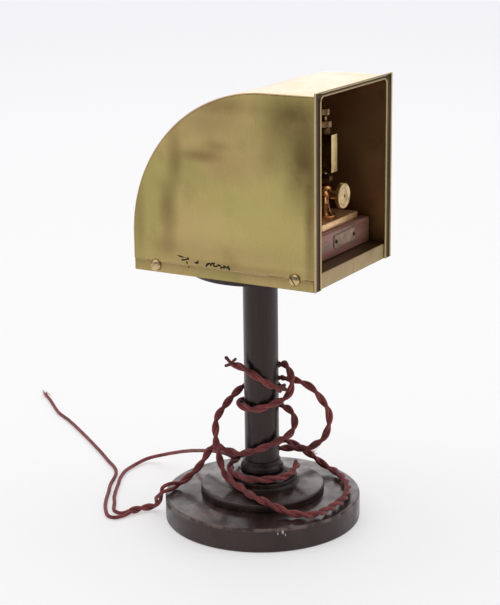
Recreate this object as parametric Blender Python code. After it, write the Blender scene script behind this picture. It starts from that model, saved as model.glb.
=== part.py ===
"""Telegraph sounder in an open-fronted brass sound hood on a round pedestal stand.

Metres, +Z up. The origin is the centre of the base's underside and the hood opens towards -Y.
Every named object is one piece of the real thing.
"""

from math import cos, pi, radians, sin, sqrt

import bmesh
import bpy
from mathutils import Matrix, Vector

MM = 0.001

# ---- Driving dimensions, in millimetres ----

GAP = 0.3  # left between pieces that touch

BASE_RADIUS = 101.6
BASE_RIM_HEIGHT = 25.2
STEP_RADIUS = 64.5
STEP_TOP = 35.2
BOSS_RADIUS = 36.0
BOSS_TOP = 45.6
COLLAR_RADIUS = 23.0
COLLAR_TOP = 62.5
COLUMN_RADIUS = 17.8
COLUMN_WALL = 2.5
PLATE_RADIUS = 70.0
PLATE_BOTTOM = 264.4

HOOD_BOTTOM = 272.4
HOOD_TOP = 456.5
HOOD_WIDTH = 162.6
HOOD_FRONT = -105.0
HOOD_BACK = 96.8
HOOD_BEND_RADIUS = 148.0
SHEET = 1.2
BAND_TOP = 287.8  # of the front lip; the sides and back of the band are lower
SEAM_BOTTOM = 283.4
FLOOR_TOP = 287.6
FRAME_WIDTH = 12.0
FRAME_DEPTH = 1.8
FRAME_TOP = 459.2
MOUTH_TOP = 454.0
MOUTH_CORNER = 5.0
HOOD_SCREW_RADIUS = 6.0
HOOD_SCREWS = (("front", -84.0, 282.5), ("rear", 71.5, 279.3))
PLATE_SCREW_RADIUS = 4.0
PLATE_SCREW_CIRCLE = 50.0

SOUNDER_X = 21.0  # the sounder stands to the right of the hood's middle plane
WOOD_WIDTH = 106.0
WOOD_FRONT = -86.0
WOOD_BACK = 62.0
WOOD_TOP = 313.8
BED_WIDTH = 76.0
BED_FRONT = -80.0
BED_BACK = 46.0
BED_TOP = 321.3
NAME_PLATE_X = 17.0
NAME_PLATE_SIZE = (44.0, 0.8, 12.5)
NAME_PLATE_BOTTOM = 297.0
NAME_SCREW_REACH = 19.0
TERMINAL_REACH = 17.0
TERMINAL_Y = 54.0

PILLAR_Y = -63.0
BALL_HEIGHT = 347.4
BALL_RADIUS = 7.0
TENSION_HEIGHT = 344.0
NUT_SEAT = 7.4  # from the pillar's middle to the nut's inner end
HEAD_RADIUS = 12.6
ROD_RADIUS = 1.6
ROD_END = 9.0  # the rod's hooked end stands this far behind the pillar's middle
ROD_LENGTH = 31.0
SPRING_RADIUS = 2.4
SPRING_WIRE = 0.35
SPRING_LENGTH = 6.0
SPRING_TURNS = 5
LEVER_BOTTOM = 356.9
LEVER_TOP = 362.9
LEVER_HALF = 3.5
ARM_Y = -42.4
PIVOT_Y = 33.0
PIVOT_HEIGHT = 359.9
AXLE_RADIUS = 2.5
BAR_WIDTH = 12.4
BAR_BOTTOM = 366.8
BAR_TOP = 404.2
BAR_FRONT = -73.3
SCREW_RADIUS = 2.0
SCREW_HEAD_BOTTOM = 422.4
COIL_RADIUS = 13.5
COIL_REACH = 15.5  # from the sounder's middle to each coil's axis
COIL_Y = -14.0
CORE_RADIUS = 4.5
YOKE_HEIGHT = 4.5
ARMATURE_HEIGHT = 3.0
MAGNET_GAP = 1.25  # left between the cores and the armature

CORD_DIAMETER = 7.6
STRAND_DIAMETER = 3.8
CORD_SPACING = 8.0  # between the points of a cord's solid
EXIT_ANGLE = 30.0
EXIT_HEIGHT = 70.0
BUSH_RADIUS = 5.0

# Points along each cord, in millimetres. The three flexes are twisted pairs, and the last of
# them parts into two single strands that lie on the table.
CORD_ROUTES = {
    "flex_wrap": [
        (17.5, 10, 70), (23, 12.5, 70), (31.5, 13, 69.6), (40.5, 8.5, 68), (49.5, -0.5, 64.5),
        (58.5, -9, 58), (66.5, -17.5, 49), (72.5, -26, 40.5), (74.5, -35, 34.3), (71.5, -48, 31.4),
        (61, -62, 31.2), (46.5, -75, 31), (30, -84.5, 31), (12, -90, 30.8), (-5.5, -90.5, 30.8),
        (-22, -89.5, 30.6), (-35, -86.5, 30.6), (-44, -80.5, 30.6), (-48.5, -71.5, 30.8),
        (-51.5, -62, 31.6), (-54, -51.5, 34.6), (-55.5, -41, 38.2), (-54.5, -29.5, 40.4),
        (-50.5, -15.5, 41.2), (-43, -1, 43), (-38.5, 13, 46), (-35.5, 25, 52.8), (-34, 31, 66),
        (-33.5, 34.5, 79), (-31.5, 37, 87.5), (-29, 38.5, 96.6), (-25, 39.5, 106.5),
        (-19.5, 35.5, 116), (-11, 29, 127.5), (-0.5, 24, 134.8), (13.5, 19, 136), (22, 8, 136.3),
        (22.5, -6.5, 136.6), (13.5, -19, 138.2), (-0.5, -23.5, 140.8), (-11.5, -20.5, 146.5),
        (-19, -13.5, 153.5), (-23, -4, 160.2), (-23, 5.5, 164.5), (-22.5, 13.5, 166.5),
        (-21.5, 21, 167)],
    "flex_loop": [
        (20.5, -12, 145.6), (22, -21, 145.2), (24, -31.5, 143.6), (27.5, -44, 137.3),
        (31, -54, 124.7), (34.5, -60, 111.5), (35.5, -59.5, 97.3), (35, -55, 83.5),
        (34.5, -46.5, 75), (34.5, -38, 69), (36, -27.5, 65.5), (36.5, -16, 63.4),
        (35.5, -2.5, 61.5), (30, 11.5, 59.5), (20.5, 24.5, 57.5), (6.5, 31.5, 55.3),
        (-8.5, 31.5, 53.3), (-22.5, 25, 51.8), (-30.5, 12.5, 51.4), (-34.5, -2, 51),
        (-30.5, -15.5, 51), (-22, -26, 51), (-10, -33, 51), (4, -34, 51.3), (16.5, -31, 52),
        (26, -27, 53.2)],
    "flex_band": [
        (22, 9, 151), (23.5, -3, 157), (20, -13, 161.5), (15.5, -21, 161.5), (11.5, -27.5, 156.5),
        (8, -31, 149.5), (6.5, -32, 143.5), (3, -30.5, 136), (-1.5, -26.5, 130.6),
        (-8, -22.5, 129), (-15, -18, 126.8), (-20.5, -11.5, 124.5), (-23, -3.5, 123.1),
        (-22.5, 5.5, 123), (-19, 14, 123.8), (-10, 21, 122.5), (3, 23, 120.5), (16, 17, 119),
        (22.5, 6, 118), (22, -7.5, 117), (16.5, -19, 116), (15, -26, 113), (15.5, -29.5, 107),
        (15, -30.5, 100), (12, -29.5, 93), (4.5, -27, 88.8), (-7, -23, 86.2), (-17.5, -16, 83.2),
        (-24, -5.5, 79), (-25.5, 5.5, 75), (-24.5, 16, 72.3), (-21.5, 29, 72.5), (-20.5, 41.5, 74),
        (-21.5, 49.5, 71), (-24, 55.5, 60), (-26.5, 60, 52), (-28, 65, 45.5), (-31, 71, 39),
        (-35, 76, 33.6), (-41.5, 80.5, 30.9), (-50.5, 84, 31), (-54.5, 88.8, 28.6), (-54.5, 93.3, 21.5),
        (-52, 97.3, 14), (-50, 102, 7.3), (-52, 108.5, 4.5), (-57.5, 113.5, 4.1),
        (-64.5, 117.5, 4.1), (-70, 120.5, 4.1)],
    "strand_far": [
        (-71.5, 119, 3.4), (-76.5, 121, 2.5), (-83, 123.5, 2.2), (-88.5, 128, 2.2),
        (-88.5, 134.5, 2.2), (-84.5, 140.5, 2.2), (-70, 152.5, 2.2), (-53.5, 163, 2.2),
        (-34, 173.5, 2.2), (-15, 184, 2.2), (3, 191.5, 2.2), (17.5, 199, 2.2), (30, 210, 2.2),
        (43, 227, 2.2), (64.5, 254, 2.2), (99, 300, 2.2), (132, 346.5, 2.2), (148.5, 374, 2.2),
        (162.5, 391, 2.2), (184.5, 415.5, 2.2), (198, 432.5, 2.2)],
    "strand_near": [
        (-69.5, 123, 3.4), (-73, 125, 2.6), (-76, 129, 2.2), (-75.5, 134.5, 2.2),
        (-72.5, 139.5, 2.2), (-66.5, 144, 2.2), (-55, 151, 2.2), (-42.5, 160, 2.2),
        (-25.5, 169.5, 2.2), (-8.5, 178, 2.2), (8.5, 186.5, 2.3), (28, 192.5, 2.4),
        (48.5, 192.5, 3), (65, 187.5, 5), (66.5, 166.5, 13), (52, 127.5, 29), (22.5, 85.5, 47),
        (2, 58, 58), (-4, 46, 60.6), (-7.5, 37.5, 61.5), (-10.5, 29.5, 60.5)],
}


# ---- Materials ----

def material(name, colour, roughness, metallic):
    made = bpy.data.materials.new(name)
    made.use_nodes = True
    shader = made.node_tree.nodes["Principled BSDF"]
    shader.inputs["Base Color"].default_value = (*colour, 1.0)
    shader.inputs["Roughness"].default_value = roughness
    shader.inputs["Metallic"].default_value = metallic
    return made


FINISHES = {
    "ebonised_wood": ((0.060, 0.045, 0.045), 0.42, 0.0),
    "japanned_iron": ((0.045, 0.040, 0.040), 0.42, 0.0),
    "black_column": ((0.040, 0.033, 0.032), 0.35, 0.2),
    "hood_brass": ((0.42, 0.29, 0.12), 0.42, 1.0),
    "dark_brass": ((0.20, 0.12, 0.05), 0.48, 1.0),
    "bright_brass": ((0.72, 0.50, 0.20), 0.25, 1.0),
    "copper_brass": ((0.62, 0.34, 0.14), 0.24, 1.0),
    "steel": ((0.42, 0.41, 0.40), 0.30, 1.0),
    "soft_iron": ((0.16, 0.15, 0.15), 0.45, 0.9),
    "mahogany": ((0.20, 0.075, 0.05), 0.45, 0.0),
    "coil_winding": ((0.10, 0.03, 0.025), 0.6, 0.0),
    "name_plate": ((0.30, 0.23, 0.16), 0.5, 0.4),
    "ebonite": ((0.02, 0.018, 0.018), 0.35, 0.0),
    "cotton_flex": ((0.24, 0.055, 0.05), 0.85, 0.0),
}


# ---- Building blocks ----

def finish_object(name, mesh, finish, smooth_below=None):
    """Link a mesh as a named object with a material of its own."""
    mesh.name = name
    made = bpy.data.objects.new(name, mesh)
    bpy.context.scene.collection.objects.link(made)
    mesh.materials.append(material(name, *FINISHES[finish]))
    if smooth_below is not None:
        mesh.shade_smooth()
        mesh.set_sharp_from_angle(angle=radians(smooth_below))
    return made


def mesh_from(bm):
    bmesh.ops.recalc_face_normals(bm, faces=bm.faces)
    mesh = bpy.data.meshes.new("mesh")
    bm.to_mesh(mesh)
    bm.free()
    return mesh


def arc(centre, radius, start, end, steps):
    """Points on a circular arc, angles in degrees, both ends included."""
    points = []
    for step in range(steps + 1):
        angle = radians(start + (end - start) * step / steps)
        points.append((centre[0] + radius * cos(angle), centre[1] + radius * sin(angle)))
    return points


def turned_mesh(profile, segments):
    """Turn an outline of (radius, height) about Z. An outline that ends on the axis is closed there."""
    bm = bmesh.new()
    rings = []
    for radius, height in profile:
        if radius < 1e-6:
            rings.append([bm.verts.new((0.0, 0.0, height * MM))])
            continue
        ring = []
        for step in range(segments):
            angle = 2.0 * pi * step / segments
            ring.append(bm.verts.new((radius * cos(angle) * MM, radius * sin(angle) * MM, height * MM)))
        rings.append(ring)
    solid_core = len(rings[0]) == 1
    pairs = list(zip(rings, rings[1:]))
    if not solid_core:
        pairs.append((rings[-1], rings[0]))
    for lower, upper in pairs:
        for step in range(segments):
            after = (step + 1) % segments
            corners = [lower[step % len(lower)], lower[after % len(lower)],
                       upper[after % len(upper)], upper[step % len(upper)]]
            unique = []
            for corner in corners:
                if corner not in unique:
                    unique.append(corner)
            bm.faces.new(unique)
    return mesh_from(bm)


def turned(name, profile, finish, segments=32, place=(0, 0, 0), along="Z"):
    """A turned piece whose axis is Z, or Y with the outline's top end towards -Y."""
    mesh = turned_mesh(profile, segments)
    made = finish_object(name, mesh, finish, smooth_below=40)
    if along == "Y":
        mesh.transform(Matrix.Rotation(radians(90), 4, "X"))
    if along == "X":
        mesh.transform(Matrix.Rotation(radians(90), 4, "Y"))
    made.location = Vector(place) * MM
    return made


def box_mesh(low, high):
    """A box between two corners, in millimetres."""
    bm = bmesh.new()
    bmesh.ops.create_cube(bm, size=1.0)
    low = Vector(low) * MM
    high = Vector(high) * MM
    size = high - low
    bmesh.ops.transform(bm, matrix=Matrix.Translation((low + high) / 2) @ Matrix.Diagonal((*size, 1.0)),
                        verts=bm.verts)
    return mesh_from(bm)


def add_bevel(made, width, segments=2):
    bevel = made.modifiers.new("edges", "BEVEL")
    bevel.width = width * MM
    bevel.segments = segments
    bevel.limit_method = "ANGLE"
    bevel.angle_limit = radians(40)
    return bevel


def block(name, low, high, finish, bevel=0.0, segments=2):
    made = finish_object(name, box_mesh(low, high), finish)
    if bevel:
        add_bevel(made, bevel, segments)
    return made


def extruded_mesh(outline, start, end, plane):
    """Extrude an outline: plane XZ runs along Y, YZ along X and XY along Z."""
    def point(across, up, depth):
        if plane == "XZ":
            return (across * MM, depth * MM, up * MM)
        if plane == "YZ":
            return (depth * MM, across * MM, up * MM)
        return (across * MM, up * MM, depth * MM)

    bm = bmesh.new()
    near = [bm.verts.new(point(a, b, start)) for a, b in outline]
    far = [bm.verts.new(point(a, b, end)) for a, b in outline]
    bm.faces.new(near)
    bm.faces.new(list(reversed(far)))
    count = len(outline)
    for step in range(count):
        after = (step + 1) % count
        bm.faces.new((near[step], near[after], far[after], far[step]))
    return mesh_from(bm)


def extruded(name, outline, start, end, plane, finish, smooth_below=None):
    return finish_object(name, extruded_mesh(outline, start, end, plane), finish, smooth_below)


def combine(made, others, operation):
    """Union with, or cut by, helper solids that are not pieces themselves."""
    for mesh in others:
        helper = bpy.data.objects.new("helper", mesh)
        bpy.context.scene.collection.objects.link(helper)
        helper.hide_render = True
        helper.display_type = "WIRE"
        change = made.modifiers.new(operation.lower(), "BOOLEAN")
        change.operation = operation
        change.object = helper
        change.solver = "EXACT"


def rod_mesh(radius, start, end, segments=24):
    """A plain cylinder between two points that share an axis direction."""
    start = Vector(start)
    end = Vector(end)
    length = (end - start).length
    mesh = turned_mesh([(0, 0), (radius, 0), (radius, length), (0, length)], segments)
    turn = Vector((0, 0, 1)).rotation_difference(end - start).to_matrix().to_4x4()
    mesh.transform(Matrix.Translation(start * MM) @ turn)
    return mesh


# ---- Stand ----

def make_stand():
    rim = 3.0
    turned("base_disc", [
        (0, 0), (BASE_RADIUS - 1.5, 0), (BASE_RADIUS, 1.5), (BASE_RADIUS, BASE_RIM_HEIGHT - rim)]
        + arc((BASE_RADIUS - rim, BASE_RIM_HEIGHT - rim), rim, 25, 90, 3)
        + [(STEP_RADIUS, 27.2), (0, 27.2)], "ebonised_wood", 64)
    turned("base_steps", [
        (0, 27.2 + GAP), (STEP_RADIUS, 27.2 + GAP), (STEP_RADIUS, STEP_TOP - 2.0)]
        + arc((STEP_RADIUS - 2.0, STEP_TOP - 2.0), 2.0, 30, 90, 2)
        + [(BOSS_RADIUS, 38.6), (BOSS_RADIUS, BOSS_TOP - 1.5)]
        + arc((BOSS_RADIUS - 1.5, BOSS_TOP - 1.5), 1.5, 45, 90, 1)
        + [(COLLAR_RADIUS + 1.0, 50.0), (0, 50.0)], "ebonised_wood", 48)
    bore = COLUMN_RADIUS + GAP
    turned("column_collar", [
        (bore, 50.0 + GAP), (COLLAR_RADIUS - 0.6, 50.0 + GAP), (COLLAR_RADIUS, 51.5),
        (COLLAR_RADIUS, 54.5), (COLLAR_RADIUS - 1.0, 56.0), (20.6, 58.2), (19.3, COLLAR_TOP - 1.6),
        (19.0, COLLAR_TOP), (bore, COLLAR_TOP)], "black_column", 36)
    inner = COLUMN_RADIUS - COLUMN_WALL
    column = turned("column", [
        (inner, 50.0 + GAP), (COLUMN_RADIUS, 50.0 + GAP), (COLUMN_RADIUS, PLATE_BOTTOM - GAP),
        (inner, PLATE_BOTTOM - GAP)], "black_column", 40)
    exit_axis = Vector((cos(radians(EXIT_ANGLE)), sin(radians(EXIT_ANGLE)), 0))
    hole_start = exit_axis * (inner - 4.0) + Vector((0, 0, EXIT_HEIGHT))
    hole_end = exit_axis * (COLUMN_RADIUS + 4.0) + Vector((0, 0, EXIT_HEIGHT))
    combine(column, [rod_mesh(BUSH_RADIUS + GAP, hole_start, hole_end)], "DIFFERENCE")
    turned("hood_plate", [
        (0, PLATE_BOTTOM), (PLATE_RADIUS - 1.5, PLATE_BOTTOM), (PLATE_RADIUS, PLATE_BOTTOM + 1.5),
        (PLATE_RADIUS, HOOD_BOTTOM - GAP), (0, HOOD_BOTTOM - GAP)], "japanned_iron", 56)


def make_exit_bush():
    """An ebonite tube in the column wall, where the flex comes out."""
    bore = CORD_DIAMETER / 2 - 0.4
    mesh = turned_mesh([(bore, -2.0), (BUSH_RADIUS, -2.0), (BUSH_RADIUS, 1.0), (BUSH_RADIUS + 1.2, 1.0),
                        (BUSH_RADIUS + 1.2, 2.2), (bore, 2.2)], 20)
    made = finish_object("cord_bush", mesh, "ebonite", smooth_below=40)
    exit_axis = Vector((cos(radians(EXIT_ANGLE)), sin(radians(EXIT_ANGLE)), 0))
    turn = Vector((0, 0, 1)).rotation_difference(exit_axis).to_matrix().to_4x4()
    mesh.transform(turn)
    made.location = (exit_axis * (COLUMN_RADIUS - 0.4) + Vector((0, 0, EXIT_HEIGHT))) * MM


# ---- Flex ----

def smooth_route(points, spacing):
    """A Catmull-Rom curve through the points, read off at even spacing."""
    ends = [2 * points[0] - points[1]] + points + [2 * points[-1] - points[-2]]
    fine = []
    for a, b, c, d in zip(ends, ends[1:], ends[2:], ends[3:]):
        for step in range(10):
            t = step / 10
            fine.append(0.5 * (2 * b + (c - a) * t + (2 * a - 5 * b + 4 * c - d) * t ** 2
                               + (3 * b - a - 3 * c + d) * t ** 3))
    fine.append(points[-1])
    travelled = [0.0]
    for a, b in zip(fine, fine[1:]):
        travelled.append(travelled[-1] + (b - a).length)
    count = round(travelled[-1] / spacing)
    route = []
    place = 0
    for step in range(count + 1):
        wanted = travelled[-1] * step / count
        while place < len(fine) - 2 and travelled[place + 1] < wanted:
            place += 1
        share = (wanted - travelled[place]) / (travelled[place + 1] - travelled[place])
        route.append(fine[place].lerp(fine[place + 1], share))
    return route


def make_cords():
    for name, points in CORD_ROUTES.items():
        diameter = CORD_DIAMETER if name.startswith("flex") else STRAND_DIAMETER
        route = smooth_route([Vector(point) for point in points], CORD_SPACING)
        curve = bpy.data.curves.new(name, "CURVE")
        curve.dimensions = "3D"
        spline = curve.splines.new("POLY")
        spline.points.add(len(route) - 1)
        for place, point in zip(spline.points, route):
            place.co = (*(point * MM), 1.0)
        curve.bevel_depth = diameter / 2 * MM
        curve.bevel_resolution = 2
        curve.use_fill_caps = True
        made = bpy.data.objects.new(name, curve)
        bpy.context.scene.collection.objects.link(made)
        curve.materials.append(material(name, *FINISHES["cotton_flex"]))


# ---- Hood ----

def hood_outline(inset, bottom):
    """The hood's side outline in Y and Z, set in from its outer skin."""
    centre = (HOOD_BACK - HOOD_BEND_RADIUS, HOOD_TOP - HOOD_BEND_RADIUS)
    outline = [(HOOD_FRONT + GAP, HOOD_TOP - inset)]
    outline += list(reversed(arc(centre, HOOD_BEND_RADIUS - inset, 0, 90, 14)))
    outline += [(HOOD_BACK - inset, bottom)]
    return outline


def make_hood():
    half = HOOD_WIDTH / 2
    bottom = SEAM_BOTTOM + GAP
    outer = hood_outline(0.0, bottom)
    inner = hood_outline(SHEET, bottom)
    extruded("hood_wrapper", outer + list(reversed(inner)), -half, half, "YZ", "hood_brass", 30)
    for side, sign in (("left", -1), ("right", 1)):
        outline = hood_outline(SHEET + GAP, bottom) + [(HOOD_FRONT + GAP, bottom)]
        extruded("hood_cheek_" + side, outline, sign * (half - SHEET), sign * half, "YZ", "hood_brass")
    edge = half + GAP
    opening = half - FRAME_WIDTH
    corner = MOUTH_CORNER
    frame_outline = [(-edge, HOOD_BOTTOM), (-edge, FRAME_TOP), (edge, FRAME_TOP), (edge, HOOD_BOTTOM),
                     (opening, HOOD_BOTTOM)]
    frame_outline += arc((opening - corner, MOUTH_TOP - corner), corner, 0, 90, 4)
    frame_outline += arc((corner - opening, MOUTH_TOP - corner), corner, 90, 180, 4)
    frame_outline += [(-opening, HOOD_BOTTOM)]
    frame = extruded("front_frame", frame_outline, HOOD_FRONT - FRAME_DEPTH, HOOD_FRONT, "XZ", "dark_brass")
    add_bevel(frame, 0.5)


def make_hood_floor():
    """A mahogany board under a brass sheet, inside a brass band whose ends meet in front."""
    outside = HOOD_WIDTH / 2
    inside = outside - SHEET
    front = HOOD_FRONT + GAP
    left, right = GAP - inside, inside - GAP
    low_y, high_y = front + SHEET + GAP, HOOD_BACK - SHEET - GAP
    sheet_bottom = FLOOR_TOP - 1.0
    block("floor_board", (left, low_y, HOOD_BOTTOM), (right, high_y, sheet_bottom - GAP), "mahogany", 0.6)
    block("floor_sheet", (left, low_y, sheet_bottom), (right, high_y, FLOOR_TOP), "dark_brass")
    seam = 0.25
    outer = [(seam, front), (outside, front), (outside, HOOD_BACK), (-outside, HOOD_BACK),
             (-outside, front), (-seam, front)]
    inner = [(-seam, front + SHEET), (-inside, front + SHEET), (-inside, HOOD_BACK - SHEET),
             (inside, HOOD_BACK - SHEET), (inside, front + SHEET), (seam, front + SHEET)]
    band = extruded("floor_band", outer + inner, HOOD_BOTTOM, BAND_TOP, "XY", "hood_brass")
    beyond = outside + 10.0
    above = BAND_TOP + 10.0
    behind_lip = box_mesh((-beyond, front + SHEET + 0.1, SEAM_BOTTOM), (beyond, HOOD_BACK + 10.0, above))
    ends = [box_mesh((min(x, sign * beyond), front - 10.0, SEAM_BOTTOM),
                     (max(x, sign * beyond), front + SHEET + 1.0, above))
            for sign, x in ((-1, left), (1, right))]
    combine(band, [behind_lip, *ends], "DIFFERENCE")


def slotted_screw(name, place, towards, radius, finish="bright_brass"):
    """A round-headed screw with a slot, its head standing out along the given direction."""
    dome = arc((0, -radius * 0.35), radius * 1.06, 19.5, 90, 3)
    profile = [(0, 0), (radius, 0)] + dome[:-1] + [(0, dome[-1][1])]
    mesh = turned_mesh(profile, 16)
    made = finish_object(name, mesh, finish, smooth_below=40)
    top = dome[-1][1]
    slot_half = radius * 0.11
    slot_depth = radius * 0.25
    cutter = box_mesh((-radius * 1.2, -slot_half, top - slot_depth), (radius * 1.2, slot_half, top + 1.0))
    turn = Vector((0, 0, 1)).rotation_difference(Vector(towards)).to_matrix().to_4x4()
    matrix = Matrix.Translation(Vector(place) * MM) @ turn
    mesh.transform(matrix)
    cutter.transform(matrix)
    combine(made, [cutter], "DIFFERENCE")
    return made


def make_hood_screws():
    out = HOOD_WIDTH / 2 + GAP
    for side, sign in (("left", -1), ("right", 1)):
        for end, y, z in HOOD_SCREWS:
            slotted_screw(f"hood_screw_{side}_{end}", (sign * out, y, z), (sign, 0, 0), HOOD_SCREW_RADIUS)
    for number in range(3):
        angle = radians(90 + 120 * number)
        place = (PLATE_SCREW_CIRCLE * cos(angle), PLATE_SCREW_CIRCLE * sin(angle), PLATE_BOTTOM - GAP)
        slotted_screw(f"plate_screw_{number + 1}", place, (0, 0, -1), PLATE_SCREW_RADIUS, "dark_brass")


# ---- Sounder base ----

def make_sounder_base():
    left, right = SOUNDER_X - WOOD_WIDTH / 2, SOUNDER_X + WOOD_WIDTH / 2
    block("sounder_base", (left, WOOD_FRONT, FLOOR_TOP + GAP), (right, WOOD_BACK, WOOD_TOP), "mahogany",
          1.5, 3)
    left, right = SOUNDER_X - BED_WIDTH / 2, SOUNDER_X + BED_WIDTH / 2
    block("bed_plate", (left, BED_FRONT, WOOD_TOP + GAP), (right, BED_BACK, BED_TOP), "bright_brass", 0.8)
    width, depth, height = NAME_PLATE_SIZE
    plate_back = WOOD_FRONT - GAP
    plate_front = plate_back - depth
    block("name_plate", (NAME_PLATE_X - width / 2, plate_front, NAME_PLATE_BOTTOM),
          (NAME_PLATE_X + width / 2, plate_back, NAME_PLATE_BOTTOM + height), "name_plate")
    for side, sign in (("left", -1), ("right", 1)):
        place = (NAME_PLATE_X + sign * NAME_SCREW_REACH, plate_front - GAP, NAME_PLATE_BOTTOM + height / 2)
        slotted_screw("name_screw_" + side, place, (0, -1, 0), 1.9)


def make_terminals():
    post_profile = [(0, 0), (6.0, 0), (6.0, 2.5), (3.6, 3.5), (3.6, 9.0), (2.0, 9.4), (2.0, 19.0),
                    (0, 19.5)]
    nut_profile = [(2.3, 0), (5.6, 0), (6.2, 0.6), (6.2, 4.4), (5.6, 5.0), (3.4, 5.2), (3.2, 6.8),
                   (2.3, 6.8)]
    nut_lift = 10.0
    for side, sign in (("left", -1), ("right", 1)):
        x = SOUNDER_X + sign * TERMINAL_REACH
        foot = WOOD_TOP + GAP
        turned("terminal_post_" + side, post_profile, "bright_brass", 18, (x, TERMINAL_Y, foot))
        turned("terminal_nut_" + side, nut_profile, "bright_brass", 20, (x, TERMINAL_Y, foot + nut_lift))


# ---- Sounder ----

def make_tension():
    """Ball pillar, milled nut, and the hooked rod that the nut draws forward."""
    neck_radius = 3.4
    neck = BALL_HEIGHT - sqrt(BALL_RADIUS ** 2 - neck_radius ** 2)
    foot = BED_TOP + GAP
    profile = [(0, foot), (10.5, foot), (10.5, foot + 1.8), (9.2, foot + 2.6), (7.0, foot + 5.0),
               (5.0, foot + 9.0), (3.6, foot + 13.0), (5.4, foot + 13.8),
               (5.4, foot + 15.6), (3.8, foot + 16.2), (neck_radius, neck)]
    profile += arc((0, BALL_HEIGHT), BALL_RADIUS, -55, 90, 7)[:-1] + [(0, BALL_HEIGHT + BALL_RADIUS)]
    pillar = turned("tension_pillar", profile, "copper_brass", 22, (SOUNDER_X, PILLAR_Y, 0))
    bore_radius = ROD_RADIUS + GAP
    bore = rod_mesh(bore_radius, (SOUNDER_X, PILLAR_Y - 12, TENSION_HEIGHT),
                    (SOUNDER_X, PILLAR_Y + 12, TENSION_HEIGHT), 16)
    combine(pillar, [bore], "DIFFERENCE")
    head = HEAD_RADIUS
    nut_profile = [(bore_radius, 0), (4.3, 0), (4.3, 9.2), (head - 0.8, 9.4), (head, 10.2), (head, 13.6),
                   (head - 0.8, 14.4), (head - 2.2, 14.4), (head - 2.8, 13.8), (4.6, 13.8), (4.2, 14.3),
                   (bore_radius, 14.3)]
    turned("tension_nut", nut_profile, "bright_brass", 32, (SOUNDER_X, PILLAR_Y - NUT_SEAT, TENSION_HEIGHT),
           along="Y")
    rod_profile = [(0, 0), (ROD_RADIUS, 0), (ROD_RADIUS, ROD_LENGTH - 0.6), (ROD_RADIUS - 0.5, ROD_LENGTH),
                   (0, ROD_LENGTH)]
    rod_place = (SOUNDER_X, PILLAR_Y + ROD_END, TENSION_HEIGHT)
    rod = turned("tension_rod", rod_profile, "steel", 16, rod_place, along="Y")
    eye = box_mesh((-0.6, -0.2, -ROD_RADIUS), (0.6, 3.0, ROD_RADIUS))
    eye.transform(Matrix.Translation(Vector(rod_place) * MM))
    combine(rod, [eye], "UNION")


def make_spring():
    """A close helix between the rod's end and the lever's arm."""
    per_turn = 9
    start = PILLAR_Y + ROD_END + 3.6
    curve = bpy.data.curves.new("tension_spring", "CURVE")
    curve.dimensions = "3D"
    spline = curve.splines.new("POLY")
    count = SPRING_TURNS * per_turn + 1
    spline.points.add(count - 1)
    for step in range(count):
        angle = 2 * pi * step / per_turn
        point = Vector((SOUNDER_X + SPRING_RADIUS * cos(angle), start + SPRING_LENGTH * step / (count - 1),
                        TENSION_HEIGHT + SPRING_RADIUS * sin(angle))) * MM
        spline.points[step].co = (*point, 1.0)
    curve.bevel_depth = SPRING_WIRE * MM
    curve.bevel_resolution = 0
    curve.use_fill_caps = True
    made = bpy.data.objects.new("tension_spring", curve)
    bpy.context.scene.collection.objects.link(made)
    curve.materials.append(material("tension_spring", *FINISHES["steel"]))


def make_lever():
    """The lever with its cross axle, and the soft-iron armature across it over the coils."""
    arm_half = 1.4
    arm_bottom = TENSION_HEIGHT - 3.5
    tip = PILLAR_Y - 7.0
    tail = PIVOT_Y + 8.5
    arm_front, arm_back = ARM_Y - arm_half, ARM_Y + arm_half
    outline = [(tip, LEVER_BOTTOM + 1.2), (tip + 1.2, LEVER_BOTTOM), (arm_front, LEVER_BOTTOM),
               (arm_front, arm_bottom), (arm_back, arm_bottom), (arm_back, LEVER_BOTTOM),
               (tail - 1.5, LEVER_BOTTOM), (tail, LEVER_BOTTOM + 1.5), (tail, LEVER_TOP - 1.0),
               (tail - 1.5, LEVER_TOP), (tip + 1.0, LEVER_TOP), (tip, LEVER_TOP - 1.2)]
    shifted = [(y - PIVOT_Y, z - PIVOT_HEIGHT) for y, z in outline]
    lever = extruded("lever", shifted, -LEVER_HALF, LEVER_HALF, "YZ", "bright_brass")
    lever.location = Vector((SOUNDER_X, PIVOT_Y, PIVOT_HEIGHT)) * MM
    axle = rod_mesh(AXLE_RADIUS, (-11.0, 0, 0), (11.0, 0, 0))
    axle.transform(Matrix.Translation(lever.location))
    combine(lever, [axle], "UNION")
    top = LEVER_BOTTOM - GAP
    half_length = COIL_REACH + 6.5
    half_width = 6.0
    block("armature", (SOUNDER_X - half_length, COIL_Y - half_width, top - ARMATURE_HEIGHT),
          (SOUNDER_X + half_length, COIL_Y + half_width, top), "soft_iron", 0.5)


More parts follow.
